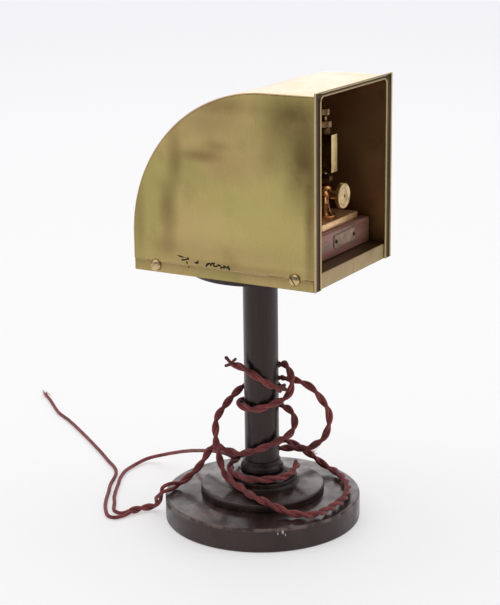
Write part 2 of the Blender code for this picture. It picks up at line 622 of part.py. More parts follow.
def make_magnet():
    """Two upright coils side by side on one iron frame: a yoke bar with two cores."""
    yoke_bottom = BED_TOP + GAP
    yoke_top = yoke_bottom + YOKE_HEIGHT
    core_top = LEVER_BOTTOM - GAP - ARMATURE_HEIGHT - MAGNET_GAP
    half_length = COIL_REACH + 8.0
    half_width = 7.5
    places = (("left", SOUNDER_X - COIL_REACH), ("right", SOUNDER_X + COIL_REACH))
    magnet = block("magnet_frame", (SOUNDER_X - half_length, COIL_Y - half_width, yoke_bottom),
                   (SOUNDER_X + half_length, COIL_Y + half_width, yoke_top), "soft_iron")
    core_bottom = yoke_bottom + 2.0
    cores = [rod_mesh(CORE_RADIUS, (x, COIL_Y, core_bottom), (x, COIL_Y, core_top)) for _, x in places]
    combine(magnet, cores, "UNION")
    bottom = yoke_top + GAP
    top = core_top - 1.0
    bore = CORE_RADIUS + GAP
    winding = COIL_RADIUS - 1.3
    for side, x in places:
        turned("coil_" + side, [
            (bore, bottom), (COIL_RADIUS, bottom), (COIL_RADIUS, bottom + 2.0), (winding, bottom + 2.2),
            (winding, top - 2.2), (COIL_RADIUS, top - 2.0), (COIL_RADIUS, top), (bore, top)],
            "coil_winding", 26, (x, COIL_Y, 0))


def make_pivot():
    """A forked standard whose two cheeks carry the lever's axle."""
    low = BED_TOP + GAP
    top = PIVOT_HEIGHT + 6.5
    half = [(14.0, low), (14.0, low + 4.0), (12.0, low + 5.5), (12.0, top - 1.5), (10.5, top), (7.5, top),
            (7.5, low + 8.0)]
    outline = [(SOUNDER_X + across, z) for across, z in half]
    outline += [(SOUNDER_X - across, z) for across, z in reversed(half)]
    standard = extruded("pivot_standard", outline, PIVOT_Y - 6.0, PIVOT_Y + 6.0, "XZ", "bright_brass")
    hole = rod_mesh(AXLE_RADIUS + GAP, (SOUNDER_X - 20.0, PIVOT_Y, PIVOT_HEIGHT),
                    (SOUNDER_X + 20.0, PIVOT_Y, PIVOT_HEIGHT))
    combine(standard, [hole], "DIFFERENCE")


def make_sounding_bar():
    """The tall brass bar over the lever's end, on an arch, with the stop screw through it."""
    arch_front = -52.0
    arch_back = -44.0
    foot = BED_TOP + GAP
    half_bar = BAR_WIDTH / 2
    half = [(14.8, foot), (14.8, BAR_BOTTOM + 6.0), (half_bar, BAR_TOP)]
    inner = [(9.6, BAR_BOTTOM), (9.6, foot)]
    outline = [(SOUNDER_X + across, z) for across, z in inner + half]
    outline += [(SOUNDER_X - across, z) for across, z in reversed(inner + half)]
    bar = extruded("sounding_bar", outline, arch_front, arch_back, "XZ", "bright_brass")
    front = box_mesh((SOUNDER_X - half_bar, BAR_FRONT, BAR_BOTTOM),
                     (SOUNDER_X + half_bar, arch_front + 3.0, BAR_TOP - 0.01))
    boss_top = BAR_TOP + 5.8
    boss = rod_mesh(5.4, (SOUNDER_X, PILLAR_Y, BAR_TOP - 3.0), (SOUNDER_X, PILLAR_Y, boss_top))
    combine(bar, [front, boss], "UNION")
    bore = rod_mesh(SCREW_RADIUS + GAP, (SOUNDER_X, PILLAR_Y, BAR_BOTTOM - 5.0),
                    (SOUNDER_X, PILLAR_Y, BAR_TOP + 10.0), 20)
    combine(bar, [bore], "DIFFERENCE")
    tip = LEVER_TOP + GAP
    head = SCREW_HEAD_BOTTOM
    turned("stop_screw", [
        (0, tip), (1.2, tip), (SCREW_RADIUS, tip + 1.0), (SCREW_RADIUS, head - 1.5), (3.2, head),
        (4.3, head + 0.5), (4.3, head + 6.0), (3.8, head + 6.6), (0, head + 6.6)],
        "bright_brass", 18, (SOUNDER_X, PILLAR_Y, 0))
    nut = boss_top + GAP
    turned("lock_nut", [
        (SCREW_RADIUS + GAP, nut), (5.6, nut), (6.3, nut + 0.7), (6.3, nut + 6.0), (5.6, nut + 6.7),
        (SCREW_RADIUS + GAP, nut + 6.7)], "bright_brass", 22, (SOUNDER_X, PILLAR_Y, 0))


def make_sounder():
    make_tension()
    make_spring()
    make_lever()
    make_magnet()
    make_pivot()
    make_sounding_bar()


def clear_scene():
    for old in list(bpy.data.objects):
        bpy.data.objects.remove(old, do_unlink=True)


def main():
    clear_scene()
    make_stand()
    make_exit_bush()
    make_cords()
    make_hood()
    make_hood_floor()
    make_hood_screws()
    make_sounder_base()
    make_terminals()
    make_sounder()


main()
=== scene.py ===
"""Looks of the telegraph sounder: a brass sound hood on a pedestal stand, wound with cotton flex.

Metres, +Z up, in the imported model's frame: the base's underside is at z = 0 and the hood opens
towards -Y. Lengths below are written in millimetres and multiplied by MM.
"""

from math import atan2, ceil, cos, pi, radians, sin, tan

import bmesh
import bpy
import numpy as np
from mathutils import Matrix, Vector, noise


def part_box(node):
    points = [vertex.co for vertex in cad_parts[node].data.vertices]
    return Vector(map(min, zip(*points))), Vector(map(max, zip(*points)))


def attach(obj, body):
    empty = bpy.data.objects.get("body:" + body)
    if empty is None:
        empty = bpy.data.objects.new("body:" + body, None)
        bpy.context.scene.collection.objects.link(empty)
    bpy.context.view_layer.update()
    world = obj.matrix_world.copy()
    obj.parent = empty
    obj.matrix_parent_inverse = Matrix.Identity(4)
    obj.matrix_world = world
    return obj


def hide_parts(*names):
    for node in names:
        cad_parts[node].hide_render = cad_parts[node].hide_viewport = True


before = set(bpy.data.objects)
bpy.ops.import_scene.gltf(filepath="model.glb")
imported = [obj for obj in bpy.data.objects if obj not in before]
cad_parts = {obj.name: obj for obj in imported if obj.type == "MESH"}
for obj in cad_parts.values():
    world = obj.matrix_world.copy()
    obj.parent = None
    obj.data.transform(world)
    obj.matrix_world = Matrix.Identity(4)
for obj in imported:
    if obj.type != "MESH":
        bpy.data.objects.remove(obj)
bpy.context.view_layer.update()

MM = 0.001
ROOT = "stand_and_hood"
SIDES = (("left", -1), ("right", 1))
noise.seed_set(7)  # noise_vector would otherwise start from the clock


# ---- Camera ----

CAMERA_PLACE = (-1.3744, -0.7892, 0.6715)
CAMERA_HEADING = 1.0429  # radians from +Y towards +X
CAMERA_PITCH = 0.2717  # radians downwards
CAMERA_ROLL = -0.0134
CAMERA_LENS = 116.8  # millimetres, on a sensor 36 mm wide


def make_camera():
    ahead = Vector((sin(CAMERA_HEADING) * cos(CAMERA_PITCH), cos(CAMERA_HEADING) * cos(CAMERA_PITCH),
                    -sin(CAMERA_PITCH)))
    level_right = ahead.cross(Vector((0, 0, 1))).normalized()
    level_up = level_right.cross(ahead)
    right = level_right * cos(CAMERA_ROLL) + level_up * sin(CAMERA_ROLL)
    up = level_up * cos(CAMERA_ROLL) - level_right * sin(CAMERA_ROLL)
    data = bpy.data.cameras.new("camera")
    data.sensor_fit = "HORIZONTAL"
    data.sensor_width = 36.0
    data.lens = CAMERA_LENS
    data.clip_end = 60.0
    camera = bpy.data.objects.new("camera", data)
    bpy.context.scene.collection.objects.link(camera)
    turn = Matrix((right, up, -ahead)).transposed()
    camera.matrix_world = Matrix.Translation(CAMERA_PLACE) @ turn.to_4x4()
    bpy.context.scene.camera = camera


# ---- Materials ----

class Shader:
    """One material, built by short calls that add a node and return its output."""

    def __init__(self, name, metallic=0.0, roughness=0.5, **sockets):
        self.material = bpy.data.materials.new(name)
        self.material.use_nodes = True
        self.nodes = self.material.node_tree.nodes
        self.links = self.material.node_tree.links
        self.out = self.nodes["Principled BSDF"].inputs
        self.out["Metallic"].default_value = metallic
        self.out["Roughness"].default_value = roughness
        for socket, value in sockets.items():
            self.out[socket.replace("_", " ")].default_value = value
        self.place = self.nodes.new("ShaderNodeTexCoord").outputs["Object"]

    def feed(self, socket, value):
        if isinstance(value, bpy.types.NodeSocket):
            self.links.new(value, socket)
        elif hasattr(value, "__len__") and socket.type == "RGBA":
            socket.default_value = (*value[:3], 1.0)
        else:
            socket.default_value = value

    def mapped(self, stretch, shift=(0, 0, 0), source=None):
        node = self.nodes.new("ShaderNodeMapping")
        self.feed(node.inputs["Vector"], source or self.place)
        node.inputs["Scale"].default_value = stretch
        node.inputs["Location"].default_value = shift
        return node.outputs["Vector"]

    def noise(self, scale, detail=4.0, stretch=(1, 1, 1), shift=(0, 0, 0), distortion=0.0):
        node = self.nodes.new("ShaderNodeTexNoise")
        self.feed(node.inputs["Vector"], self.mapped(stretch, shift))
        node.inputs["Scale"].default_value = scale
        node.inputs["Detail"].default_value = detail
        node.inputs["Distortion"].default_value = distortion
        return node.outputs["Fac"]

    def voronoi(self, scale, stretch=(1, 1, 1), feature="F1"):
        node = self.nodes.new("ShaderNodeTexVoronoi")
        node.feature = feature
        self.feed(node.inputs["Vector"], self.mapped(stretch))
        node.inputs["Scale"].default_value = scale
        return node.outputs["Distance"]

    def ramp(self, value, low, high, start=0.0, end=1.0):
        """value carried from low..high to start..end, held at both ends, with a soft turn."""
        node = self.nodes.new("ShaderNodeMapRange")
        node.interpolation_type = "SMOOTHSTEP"
        self.feed(node.inputs["Value"], value)
        for socket, number in zip(("From Min", "From Max", "To Min", "To Max"), (low, high, start, end)):
            node.inputs[socket].default_value = number
        return node.outputs["Result"]

    def math(self, operation, first, second=0.0):
        node = self.nodes.new("ShaderNodeMath")
        node.operation = operation
        self.feed(node.inputs[0], first)
        self.feed(node.inputs[1], second)
        return node.outputs["Value"]

    def mix(self, share, first, second, blend="MIX"):
        node = self.nodes.new("ShaderNodeMix")
        node.data_type = "RGBA"
        node.blend_type = blend
        self.feed(node.inputs[0], share)
        self.feed(node.inputs[6], first)
        self.feed(node.inputs[7], second)
        return node.outputs[2]

    def patch(self, centre, radii):
        """1 at a point of the surface, falling to 0 at the radii, which are in millimetres."""
        stretch = [1 / (radius * MM) for radius in radii]
        shift = [-middle * MM * scale for middle, scale in zip(centre, stretch)]
        node = self.nodes.new("ShaderNodeVectorMath")
        node.operation = "LENGTH"
        self.feed(node.inputs[0], self.mapped(stretch, shift))
        return self.ramp(node.outputs["Value"], 0.0, 1.0, 1.0, 0.0)

    def axis(self, letter):
        node = self.nodes.new("ShaderNodeSeparateXYZ")
        self.feed(node.inputs[0], self.place)
        return node.outputs[letter]

    def from_centre(self):
        """Distance from the column's axis."""
        flat = self.mapped((1, 1, 0))
        node = self.nodes.new("ShaderNodeVectorMath")
        node.operation = "LENGTH"
        self.feed(node.inputs[0], flat)
        return node.outputs["Value"]

    def colour(self, value):
        self.feed(self.out["Base Color"], value)

    def rough(self, value):
        self.feed(self.out["Roughness"], value)

    def bump(self, *layers):
        """Each layer is (height, strength, depth in millimetres)."""
        normal = None
        for height, strength, depth in layers:
            node = self.nodes.new("ShaderNodeBump")
            node.inputs["Strength"].default_value = strength
            node.inputs["Distance"].default_value = depth * MM
            self.feed(node.inputs["Height"], height)
            if normal is not None:
                self.links.new(normal, node.inputs["Normal"])
            normal = node.outputs["Normal"]
        self.links.new(normal, self.out["Normal"])


def sheet_brass(name, light, dark, low=0.24, high=0.42, patches=(), spotted=0.35):
    """Rolled sheet brass, hand polished: soft clouds, brown tarnish, fine rubbed lines. Each patch
    is (centre, radii, share, colour), its lengths in millimetres."""
    s = Shader(name, metallic=1.0)
    clouds = s.noise(9, 3, distortion=0.4)
    green = tuple(part * factor for part, factor in zip(light, (0.88, 0.97, 0.82)))
    colour = s.mix(s.ramp(clouds, 0.36, 0.62), light, green)
    tarnish = s.ramp(s.noise(38, 5, shift=(3, 1, 2)), 0.52, 0.78, 0.0, spotted)
    colour = s.mix(tarnish, colour, dark)
    # Each patch paints a colour over a region: on the near cheek tarnish with painted reflections and
    # shade, on the front flange painted shade.
    for centre, radii, share, tint in patches:
        ragged = s.math("MULTIPLY", s.patch(centre, radii), s.ramp(s.noise(40, 4), 0.3, 0.65, 0.72, 1.0))
        colour = s.mix(s.math("MULTIPLY", ragged, share), colour, tint)
    specks = s.ramp(s.voronoi(150, (1, 1, 1)), 0.03, 0.09, 0.5, 0.0)
    specks = s.math("MULTIPLY", specks, s.ramp(s.noise(30, 2, shift=(7, 0, 0)), 0.55, 0.65))
    colour = s.mix(specks, colour, dark)
    s.colour(colour)
    rubbed_lines_and_rim_highlight = s.noise(520, 3, (0.3, 1.6, 0.10))
    s.rough(s.ramp(s.math("ADD", s.math("MULTIPLY", rubbed_lines_and_rim_highlight, 0.35), s.math("MULTIPLY", clouds, 0.65)),
                   0.3, 0.7, low, high))
    s.bump((rubbed_lines_and_rim_highlight, 0.08, 0.05), (s.noise(30, 2, shift=(0, 4, 0)), 0.20, 0.4))
    return s.material


def machined_brass(name, light, dark, roughness=0.24):
    """Turned or milled brass with old lacquer gone brown in patches."""
    s = Shader(name, metallic=1.0)
    clouds = s.noise(90, 5, shift=(1, 2, 3))
    s.colour(s.mix(s.ramp(clouds, 0.48, 0.72, 0.0, 0.8), light, dark))
    s.rough(s.ramp(s.noise(260, 4), 0.3, 0.7, roughness - 0.06, roughness + 0.14))
    s.bump((s.noise(1400, 2), 0.12, 0.03))
    return s.material


def plain_metal(name, colour, roughness):
    s = Shader(name, metallic=1.0)
    clouds = s.noise(160, 4)
    s.colour(s.mix(s.ramp(clouds, 0.4, 0.7, 0.0, 0.6), colour, tuple(part * 0.55 for part in colour)))
    s.rough(s.ramp(clouds, 0.3, 0.7, roughness, roughness + 0.18))
    s.bump((s.noise(900, 3), 0.15, 0.05))
    return s.material


def ebonised_wood():
    """Black-brown polished wood, worn brown in patches on its top, with a painted highlight along the rim
    of its top.
    """
    s = Shader("ebonised_wood", Specular_IOR_Level=0.42, Coat_Weight=0.22, Coat_Roughness=0.14)
    s.out["Specular Tint"].default_value = (1.0, 0.80, 0.76, 1.0)
    on_top = s.ramp(s.axis("Z"), 0.022, 0.026)
    base = s.mix(s.ramp(s.noise(22, 5), 0.35, 0.65), (0.016, 0.009, 0.008), (0.032, 0.019, 0.017))
    worn = s.math("MULTIPLY", s.ramp(s.noise(34, 6, shift=(5, 2, 0), distortion=1.2), 0.52, 0.68), on_top)
    base = s.mix(s.math("MULTIPLY", worn, 0.6), base, (0.075, 0.028, 0.020))
    dust = s.math("MULTIPLY", s.ramp(s.noise(70, 5), 0.50, 0.80), on_top)
    base = s.mix(s.math("MULTIPLY", dust, 0.22), base, (0.12, 0.095, 0.085))
    # Painted highlight: a lighter band along the rounded top edge of the rim, broken up by noise.
    rubbed_lines_and_rim_highlight = s.math("MULTIPLY", s.ramp(s.from_centre(), 0.0995, 0.1006),
                    s.ramp(s.axis("Z"), 0.0215, 0.0235))
    rubbed_lines_and_rim_highlight = s.math("MULTIPLY", rubbed_lines_and_rim_highlight, s.ramp(s.noise(60, 4), 0.42, 0.60))
    base = s.mix(s.math("MULTIPLY", rubbed_lines_and_rim_highlight, 0.55), base, (0.24, 0.18, 0.16))
    chips = s.math("MULTIPLY", s.ramp(s.patch((-77, -66, 20.0), (9, 9, 6.5)), 0.0, 0.35),
                   s.ramp(s.voronoi(330, (1, 1, 0.45)), 0.36, 0.24))
    base = s.mix(chips, base, (0.60, 0.55, 0.52))
    s.colour(base)
    s.rough(s.ramp(s.noise(45, 5, shift=(0, 3, 0)), 0.3, 0.7, 0.22, 0.50))
    s.bump((s.noise(26, 3), 0.12, 0.4), (s.noise(300, 3, (1, 1, 0.4)), 0.16, 0.10))
    return s.material


def japanned(name, colour, streak=(1, 1, 0.06)):
    """Black stove enamel, faintly ribbed along its length, with brush streaks and dust."""
    s = Shader(name, Specular_IOR_Level=0.40, Coat_Weight=0.12, Coat_Roughness=0.12)
    s.out["Specular Tint"].default_value = (1.0, 0.76, 0.72, 1.0)
    streaks = s.noise(240, 4, streak)
    grey = tuple(part * 1.9 + 0.003 for part in colour)
    base = s.mix(s.ramp(streaks, 0.40, 0.68, 0.0, 0.8), colour, grey)
    base = s.mix(s.ramp(s.noise(30, 5), 0.58, 0.78, 0.0, 0.4), base, (0.050, 0.030, 0.024))
    s.colour(base)
    s.rough(s.ramp(s.noise(60, 4, streak), 0.3, 0.7, 0.24, 0.44))
    s.bump((streaks, 0.12, 0.05))
    return s.material


def mahogany(name, dusty):
    """French-polished mahogany with its grain along X, and a grey bloom of dust."""
    s = Shader(name, Coat_Weight=0.25, Coat_Roughness=0.22)
    grain = s.noise(60, 6, (0.25, 3.0, 3.0), distortion=0.5)
    pores = s.noise(900, 2, (0.05, 1.0, 1.0))
    base = s.mix(s.ramp(grain, 0.35, 0.68), (0.18, 0.050, 0.034), (0.36, 0.120, 0.078))
    base = s.mix(s.ramp(pores, 0.56, 0.66, 0.0, 0.6), base, (0.05, 0.017, 0.012))
    bloom = s.ramp(s.noise(50, 5, shift=(2, 0, 5)), 0.35, 0.75, dusty * 0.5, dusty)
    s.colour(s.mix(bloom, base, (0.31, 0.215, 0.175)))
    s.rough(s.ramp(grain, 0.3, 0.7, 0.30, 0.46))
    s.bump((pores, 0.15, 0.05), (grain, 0.10, 0.10))
    return s.material


def fibre_plate():
    """Grey-tan label strip, cracked down through one screw."""
    s = Shader("fibre_plate")
    stain = s.noise(120, 5)
    base = s.mix(s.ramp(stain, 0.35, 0.7), (0.40, 0.275, 0.195), (0.27, 0.18, 0.125))
    near_screws = s.math("ADD", s.patch((-2, -85, 303.2), (5, 4, 5)), s.patch((36, -85, 303.2), (5, 4, 5)))
    s.colour(s.mix(s.math("MULTIPLY", near_screws, 0.7), base, (0.07, 0.045, 0.035)))
    s.rough(s.ramp(stain, 0.3, 0.7, 0.42, 0.60))
    s.bump((s.noise(700, 3), 0.25, 0.05))
    return s.material


def cotton():
    """Plaited cotton over rubber. The strand's own map runs once round and along in millimetres."""
    s = Shader("cotton_braid", roughness=0.85, Sheen_Weight=0.25, Sheen_Roughness=0.45)
    lay = s.nodes.new("ShaderNodeUVMap")
    split = s.nodes.new("ShaderNodeSeparateXYZ")
    s.links.new(lay.outputs["UV"], split.inputs[0])
    around = s.math("MULTIPLY", split.outputs["X"], 2 * pi * 8)
    along = s.math("MULTIPLY", split.outputs["Y"], 2 * pi / 1.9)
    right_lay = s.math("SINE", s.math("ADD", around, along))
    left_lay = s.math("SINE", s.math("SUBTRACT", around, along))
    weave = s.math("MAXIMUM", right_lay, left_lay)
    fluff_and_highlight = s.noise(700, 4)
    faded = s.ramp(s.noise(75, 4), 0.36, 0.66)
    base = s.mix(faded, (0.185, 0.028, 0.031), (0.330, 0.060, 0.058))
    # Painted shade: the colour darkens towards the troughs of the plait.
    base = s.mix(s.ramp(weave, -0.6, 0.4, 0.50, 0.0), base, (0.045, 0.011, 0.012))
    # Lighter pink specks of fuzz, partly a painted highlight.
    base = s.mix(s.ramp(fluff_and_highlight, 0.55, 0.75, 0.0, 0.45), base, (0.48, 0.16, 0.14))
    s.colour(base)
    s.bump((weave, 0.7, 0.25), (fluff_and_highlight, 0.4, 0.2))
    return s.material


def silk_winding():
    """Fine silk-covered wire, layer wound, under a varnished paper band."""
    s = Shader("silk_winding", roughness=0.5)
    turns = s.math("SINE", s.math("MULTIPLY", s.axis("Z"), 2 * pi / (0.55 * MM)))
    # Painted shade: the colour darkens in the groove between turns and lightens on each crest.
    base = s.mix(s.ramp(turns, -0.8, 0.6), (0.012, 0.022, 0.014), (0.045, 0.085, 0.050))
    s.colour(s.mix(s.ramp(s.noise(120, 4), 0.5, 0.8, 0.0, 0.6), base, (0.06, 0.05, 0.03)))
    s.bump((turns, 0.6, 0.15))
    return s.material


def dark_rubber(name, colour, roughness):
    s = Shader(name)
    crumbs = s.noise(500, 4)
    s.colour(s.mix(s.ramp(crumbs, 0.4, 0.7), colour, tuple(part * 2.2 for part in colour)))
    s.rough(s.ramp(crumbs, 0.3, 0.7, roughness, roughness + 0.2))
    s.bump((crumbs, 0.3, 0.1))
    return s.material


def make_materials():
    """Every material by the name that the pieces below ask for."""
    dark = (0.105, 0.070, 0.026)
    brown = (0.20, 0.130, 0.055)
    warm = (0.40, 0.255, 0.120)
    olive = (0.49, 0.410, 0.150)
    # Patches on the near cheek: tarnish, and painted reflections and shade that copy the light and dark
    # patterns of its dents.
    near_cheek_tarnish_and_reflections = [
        ((-81, -40, 345), (40, 80, 54), 0.70, olive), ((-81, -20, 318), (40, 90, 24), 0.35, olive),
        ((-81, 0, 298), (40, 130, 24), 0.25, brown), ((-81, 10, 425), (40, 60, 34), 0.38, brown),
        ((-81, -12, 386), (40, 46, 28), 0.55, warm), ((-81, -5, 438), (40, 50, 16), 0.30, warm),
        ((-81, -82, 436), (40, 52, 40), 0.85, dark), ((-81, -94, 395), (40, 32, 72), 0.90, dark),
        ((-81, -62, 408), (40, 26, 44), 0.45, brown), ((-81, -101, 340), (40, 10, 100), 0.75, dark),
        ((-81, 0, 444), (40, 80, 14), 0.55, brown), ((-81, 17, 393), (40, 34, 11), 0.80, brown),
        ((-81, 2, 403), (40, 26, 9), 0.50, brown), ((-81, 47, 390), (40, 14, 48), 0.70, brown),
        ((-81, 55, 334), (40, 15, 52), 0.75, brown), ((-81, 60, 300), (40, 26, 18), 0.40, brown),
        ((-81, 90, 330), (40, 12, 70), 0.60, brown), ((-81, -30, 287), (40, 130, 7), 0.45, brown),
    ]
    return {
        "cheek": sheet_brass("cheek_brass", (0.47, 0.355, 0.150), dark, 0.20, 0.34, near_cheek_tarnish_and_reflections, 0.16),
        "skin": sheet_brass("skin_brass", (0.68, 0.445, 0.265), (0.38, 0.235, 0.115), 0.22, 0.34,
                            spotted=0.35),
        "band": sheet_brass("band_brass", (0.44, 0.32, 0.14), (0.16, 0.095, 0.035)),
        "lip": sheet_brass("lip_brass", (0.42, 0.30, 0.16), (0.17, 0.105, 0.05), 0.34, 0.5),
        "inside": sheet_brass("inside_brass", (0.44, 0.235, 0.115), (0.22, 0.105, 0.048), 0.42, 0.6),
        "floor": sheet_brass("floor_brass", (0.20, 0.125, 0.060), (0.08, 0.045, 0.020), 0.34, 0.5),
        # Painted shade: the front flange is given a near-black brass, with a patch over its left leg.
        "flange": sheet_brass("shaded_flange_brass", (0.055, 0.027, 0.009), (0.026, 0.012, 0.004), 0.36, 0.52,
                              patches=[((-76, -106, 365), (14, 10, 140), 0.9, (0.055, 0.030, 0.010))],
                              spotted=0.8),
        "rim": sheet_brass("rim_brass", (0.58, 0.42, 0.25), (0.30, 0.19, 0.09), 0.28, 0.42, spotted=0.5),
        "bright": machined_brass("bright_brass", (0.70, 0.49, 0.22), (0.38, 0.20, 0.08)),
        "pale": machined_brass("pale_brass", (0.80, 0.60, 0.34), (0.50, 0.33, 0.15), 0.34),
        # Painted highlight: the bright brass of the sounding bar's front face.
        "strip": machined_brass("bar_face_highlight_brass", (0.95, 0.76, 0.40), (0.85, 0.66, 0.33), 0.42),
        "bed": machined_brass("bed_brass", (0.98, 0.66, 0.38), (0.80, 0.48, 0.25), 0.42),
        "dull": machined_brass("dull_brass", (0.34, 0.22, 0.13), (0.10, 0.05, 0.03), 0.26),
        "copper": machined_brass("copper_brass", (0.72, 0.36, 0.15), (0.34, 0.13, 0.05), 0.20),
        "brown": machined_brass("brown_brass", (0.22, 0.125, 0.055), (0.07, 0.033, 0.015), 0.32),
        "screw": machined_brass("screw_brass", (0.60, 0.45, 0.24), (0.20, 0.12, 0.06), 0.28),
        "steel": plain_metal("steel", (0.40, 0.39, 0.37), 0.28),
        "iron": plain_metal("soft_iron", (0.11, 0.10, 0.095), 0.40),
        "base": ebonised_wood(),
        "column": japanned("column_enamel", (0.012, 0.008, 0.0075)),
        "plate": japanned("plate_enamel", (0.010, 0.008, 0.0075), (1, 1, 1)),
        "wood": mahogany("dusty_mahogany", 0.55),
        "board": mahogany("plain_mahogany", 0.15),
        "fibre": fibre_plate(),
        "cotton": cotton(),
        "winding": silk_winding(),
        "ebonite": dark_rubber("ebonite", (0.010, 0.009, 0.009), 0.22),
        "rubber": dark_rubber("old_rubber", (0.030, 0.022, 0.020), 0.55),
        "lint": dark_rubber("lint", (0.36, 0.15, 0.135), 0.9),
        "solder": dark_rubber("solder_dirt", (0.006, 0.003, 0.002), 0.75),
        "bead": machined_brass("solder_line", (0.62, 0.42, 0.27), (0.24, 0.14, 0.08), 0.32),
        "black": dark_rubber("blackened_steel", (0.010, 0.008, 0.007), 0.4),
        "wire": plain_metal("tinned_wire", (0.34, 0.31, 0.29), 0.35),
    }


# ---- Mesh tools ----

def new_piece(name, vertices, faces, *materials, slots=None, angle=40):
    mesh = bpy.data.meshes.new(name)
    mesh.from_pydata([tuple(vertex) for vertex in vertices], [], faces)
    mesh.validate()
    piece = bpy.data.objects.new(name, mesh)
    bpy.context.scene.collection.objects.link(piece)
    for made in materials:
        mesh.materials.append(made)
    if slots is not None:
        mesh.polygons.foreach_set("material_index", slots)
    bm = bmesh.new()
    bm.from_mesh(mesh)
    bmesh.ops.recalc_face_normals(bm, faces=bm.faces)
    bm.to_mesh(mesh)
    bm.free()
    mesh.shade_smooth()
    mesh.set_sharp_from_angle(angle=radians(angle))
    return piece


def place(piece, slot, *nodes, body=ROOT):
    """The piece rides on its body and stands for the nodes named; its slot is not used."""
    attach(piece, body)
    if nodes:
        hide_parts(*nodes)
    return piece


def fillet(points, steps=5):
    """Points of an outline, each (across, up) or (across, up, radius of its rounded corner)."""
    outline = []
    for index, point in enumerate(points):
        corner = Vector(point[:2])
        radius = point[2] if len(point) > 2 else 0.0
        if not radius or index in (0, len(points) - 1):
            outline.append(corner)
            continue
        before = Vector(points[index - 1][:2]) - corner
        after = Vector(points[index + 1][:2]) - corner
        half = before.angle(after) / 2
        reach = min(radius / tan(half), before.length * 0.49, after.length * 0.49)
        start = corner + before.normalized() * reach
        end = corner + after.normalized() * reach
        for step in range(steps + 1):
            share = step / steps
            outline.append((1 - share) ** 2 * start + 2 * share * (1 - share) * corner + share ** 2 * end)
    return outline


def turned(name, profile, made, segments=96, at=(0, 0, 0), along=(0, 0, 1), ripple=None, angle=40):
    """A turned piece. profile holds (radius, height) pairs and ripple(radius, height, turn) in
    millimetres is added to the radius, for knurls. A profile that ends off the axis is a ring."""
    rings = [tuple(point[:2]) for point in profile]
    hollow = rings[0][0] > 0 and rings[-1][0] > 0
    vertices = []
    starts = []
    for radius, height in rings:
        starts.append(len(vertices))
        if radius <= 0:
            vertices.append(Vector((0, 0, height)) * MM)
            continue
        for step in range(segments):
            turn = 2 * pi * step / segments
            extra = ripple(radius, height, turn) if ripple else 0.0
            reach = radius + extra
            vertices.append(Vector((reach * cos(turn), reach * sin(turn), height)) * MM)
    faces = []
    pairs = list(zip(range(len(rings)), range(1, len(rings))))
    if hollow:
        pairs.append((len(rings) - 1, 0))
    for low, high in pairs:
        for step in range(segments):
            follow = (step + 1) % segments
            if rings[low][0] <= 0 and rings[high][0] <= 0:
                continue
            if rings[low][0] <= 0:
                faces.append((starts[low], starts[high] + step, starts[high] + follow))
            elif rings[high][0] <= 0:
                faces.append((starts[low] + step, starts[low] + follow, starts[high]))
            else:
                faces.append((starts[low] + step, starts[low] + follow, starts[high] + follow,
                              starts[high] + step))
    turn = Vector((0, 0, 1)).rotation_difference(Vector(along)).to_matrix().to_4x4()
    matrix = Matrix.Translation(Vector(at) * MM) @ turn
    return new_piece(name, [matrix @ vertex for vertex in vertices], faces, made, angle=angle)


def knurl(teeth, depth, from_radius):
    """A ripple round the outermost part of a turned head."""
    def ripple(radius, height, turn):
        return depth * abs(sin(teeth * turn / 2)) - depth if radius >= from_radius else 0.0
    return ripple


def softened(node, made, width, name=None, steps=3, body=ROOT, slot=None):
    """A piece over a carried node: the same solid with its edges rounded to the width in millimetres."""
    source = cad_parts[node]
    mesh = source.data.copy()
    mesh.materials.clear()
    mesh.materials.append(made)
    piece = bpy.data.objects.new(name or node + "_finished", mesh)
    bpy.context.scene.collection.objects.link(piece)
    bm = bmesh.new()
    bm.from_mesh(mesh)
    bmesh.ops.remove_doubles(bm, verts=bm.verts, dist=0.00001)
    bmesh.ops.dissolve_limit(bm, angle_limit=radians(1.0), verts=bm.verts, edges=bm.edges)
    bmesh.ops.recalc_face_normals(bm, faces=bm.faces)
    bm.to_mesh(mesh)
    bm.free()
    mesh.shade_smooth()
    for polygon in mesh.polygons:
        polygon.material_index = 0
    bevel = piece.modifiers.new("edges", "BEVEL")
    bevel.width = width * MM
    bevel.segments = steps
    bevel.limit_method = "ANGLE"
    bevel.angle_limit = radians(35)
    bevel.harden_normals = True
    return place(piece, slot, node, body=body)


def tube(points, radius, sides=10, cap=0.5):
    """Vertices and faces of a round tube through the points, in metres, with domed ends."""
    along = []
    for index, point in enumerate(points):
        ahead = points[min(index + 1, len(points) - 1)] - points[max(index - 1, 0)]
        along.append(ahead.normalized())
    normal = along[0].orthogonal().normalized()
    vertices = [points[0] - along[0] * radius * cap]
    for index, (point, ahead) in enumerate(zip(points, along)):
        normal = (normal - ahead * normal.dot(ahead)).normalized()
        side = ahead.cross(normal)
        inset = 0.72 if index in (0, len(points) - 1) else 1.0
        for step in range(sides):
            turn = 2 * pi * step / sides
            vertices.append(point + (normal * cos(turn) + side * sin(turn)) * radius * inset)
    vertices.append(points[-1] + along[-1] * radius * cap)
    faces = []
    for step in range(sides):
        follow = (step + 1) % sides
        faces.append((0, 1 + follow, 1 + step))
        for ring in range(len(points) - 1):
            low = 1 + ring * sides
            faces.append((low + step, low + follow, low + sides + follow, low + sides + step))
        last = 1 + (len(points) - 1) * sides
        faces.append((last + step, last + follow, len(vertices) - 1))
    return vertices, faces


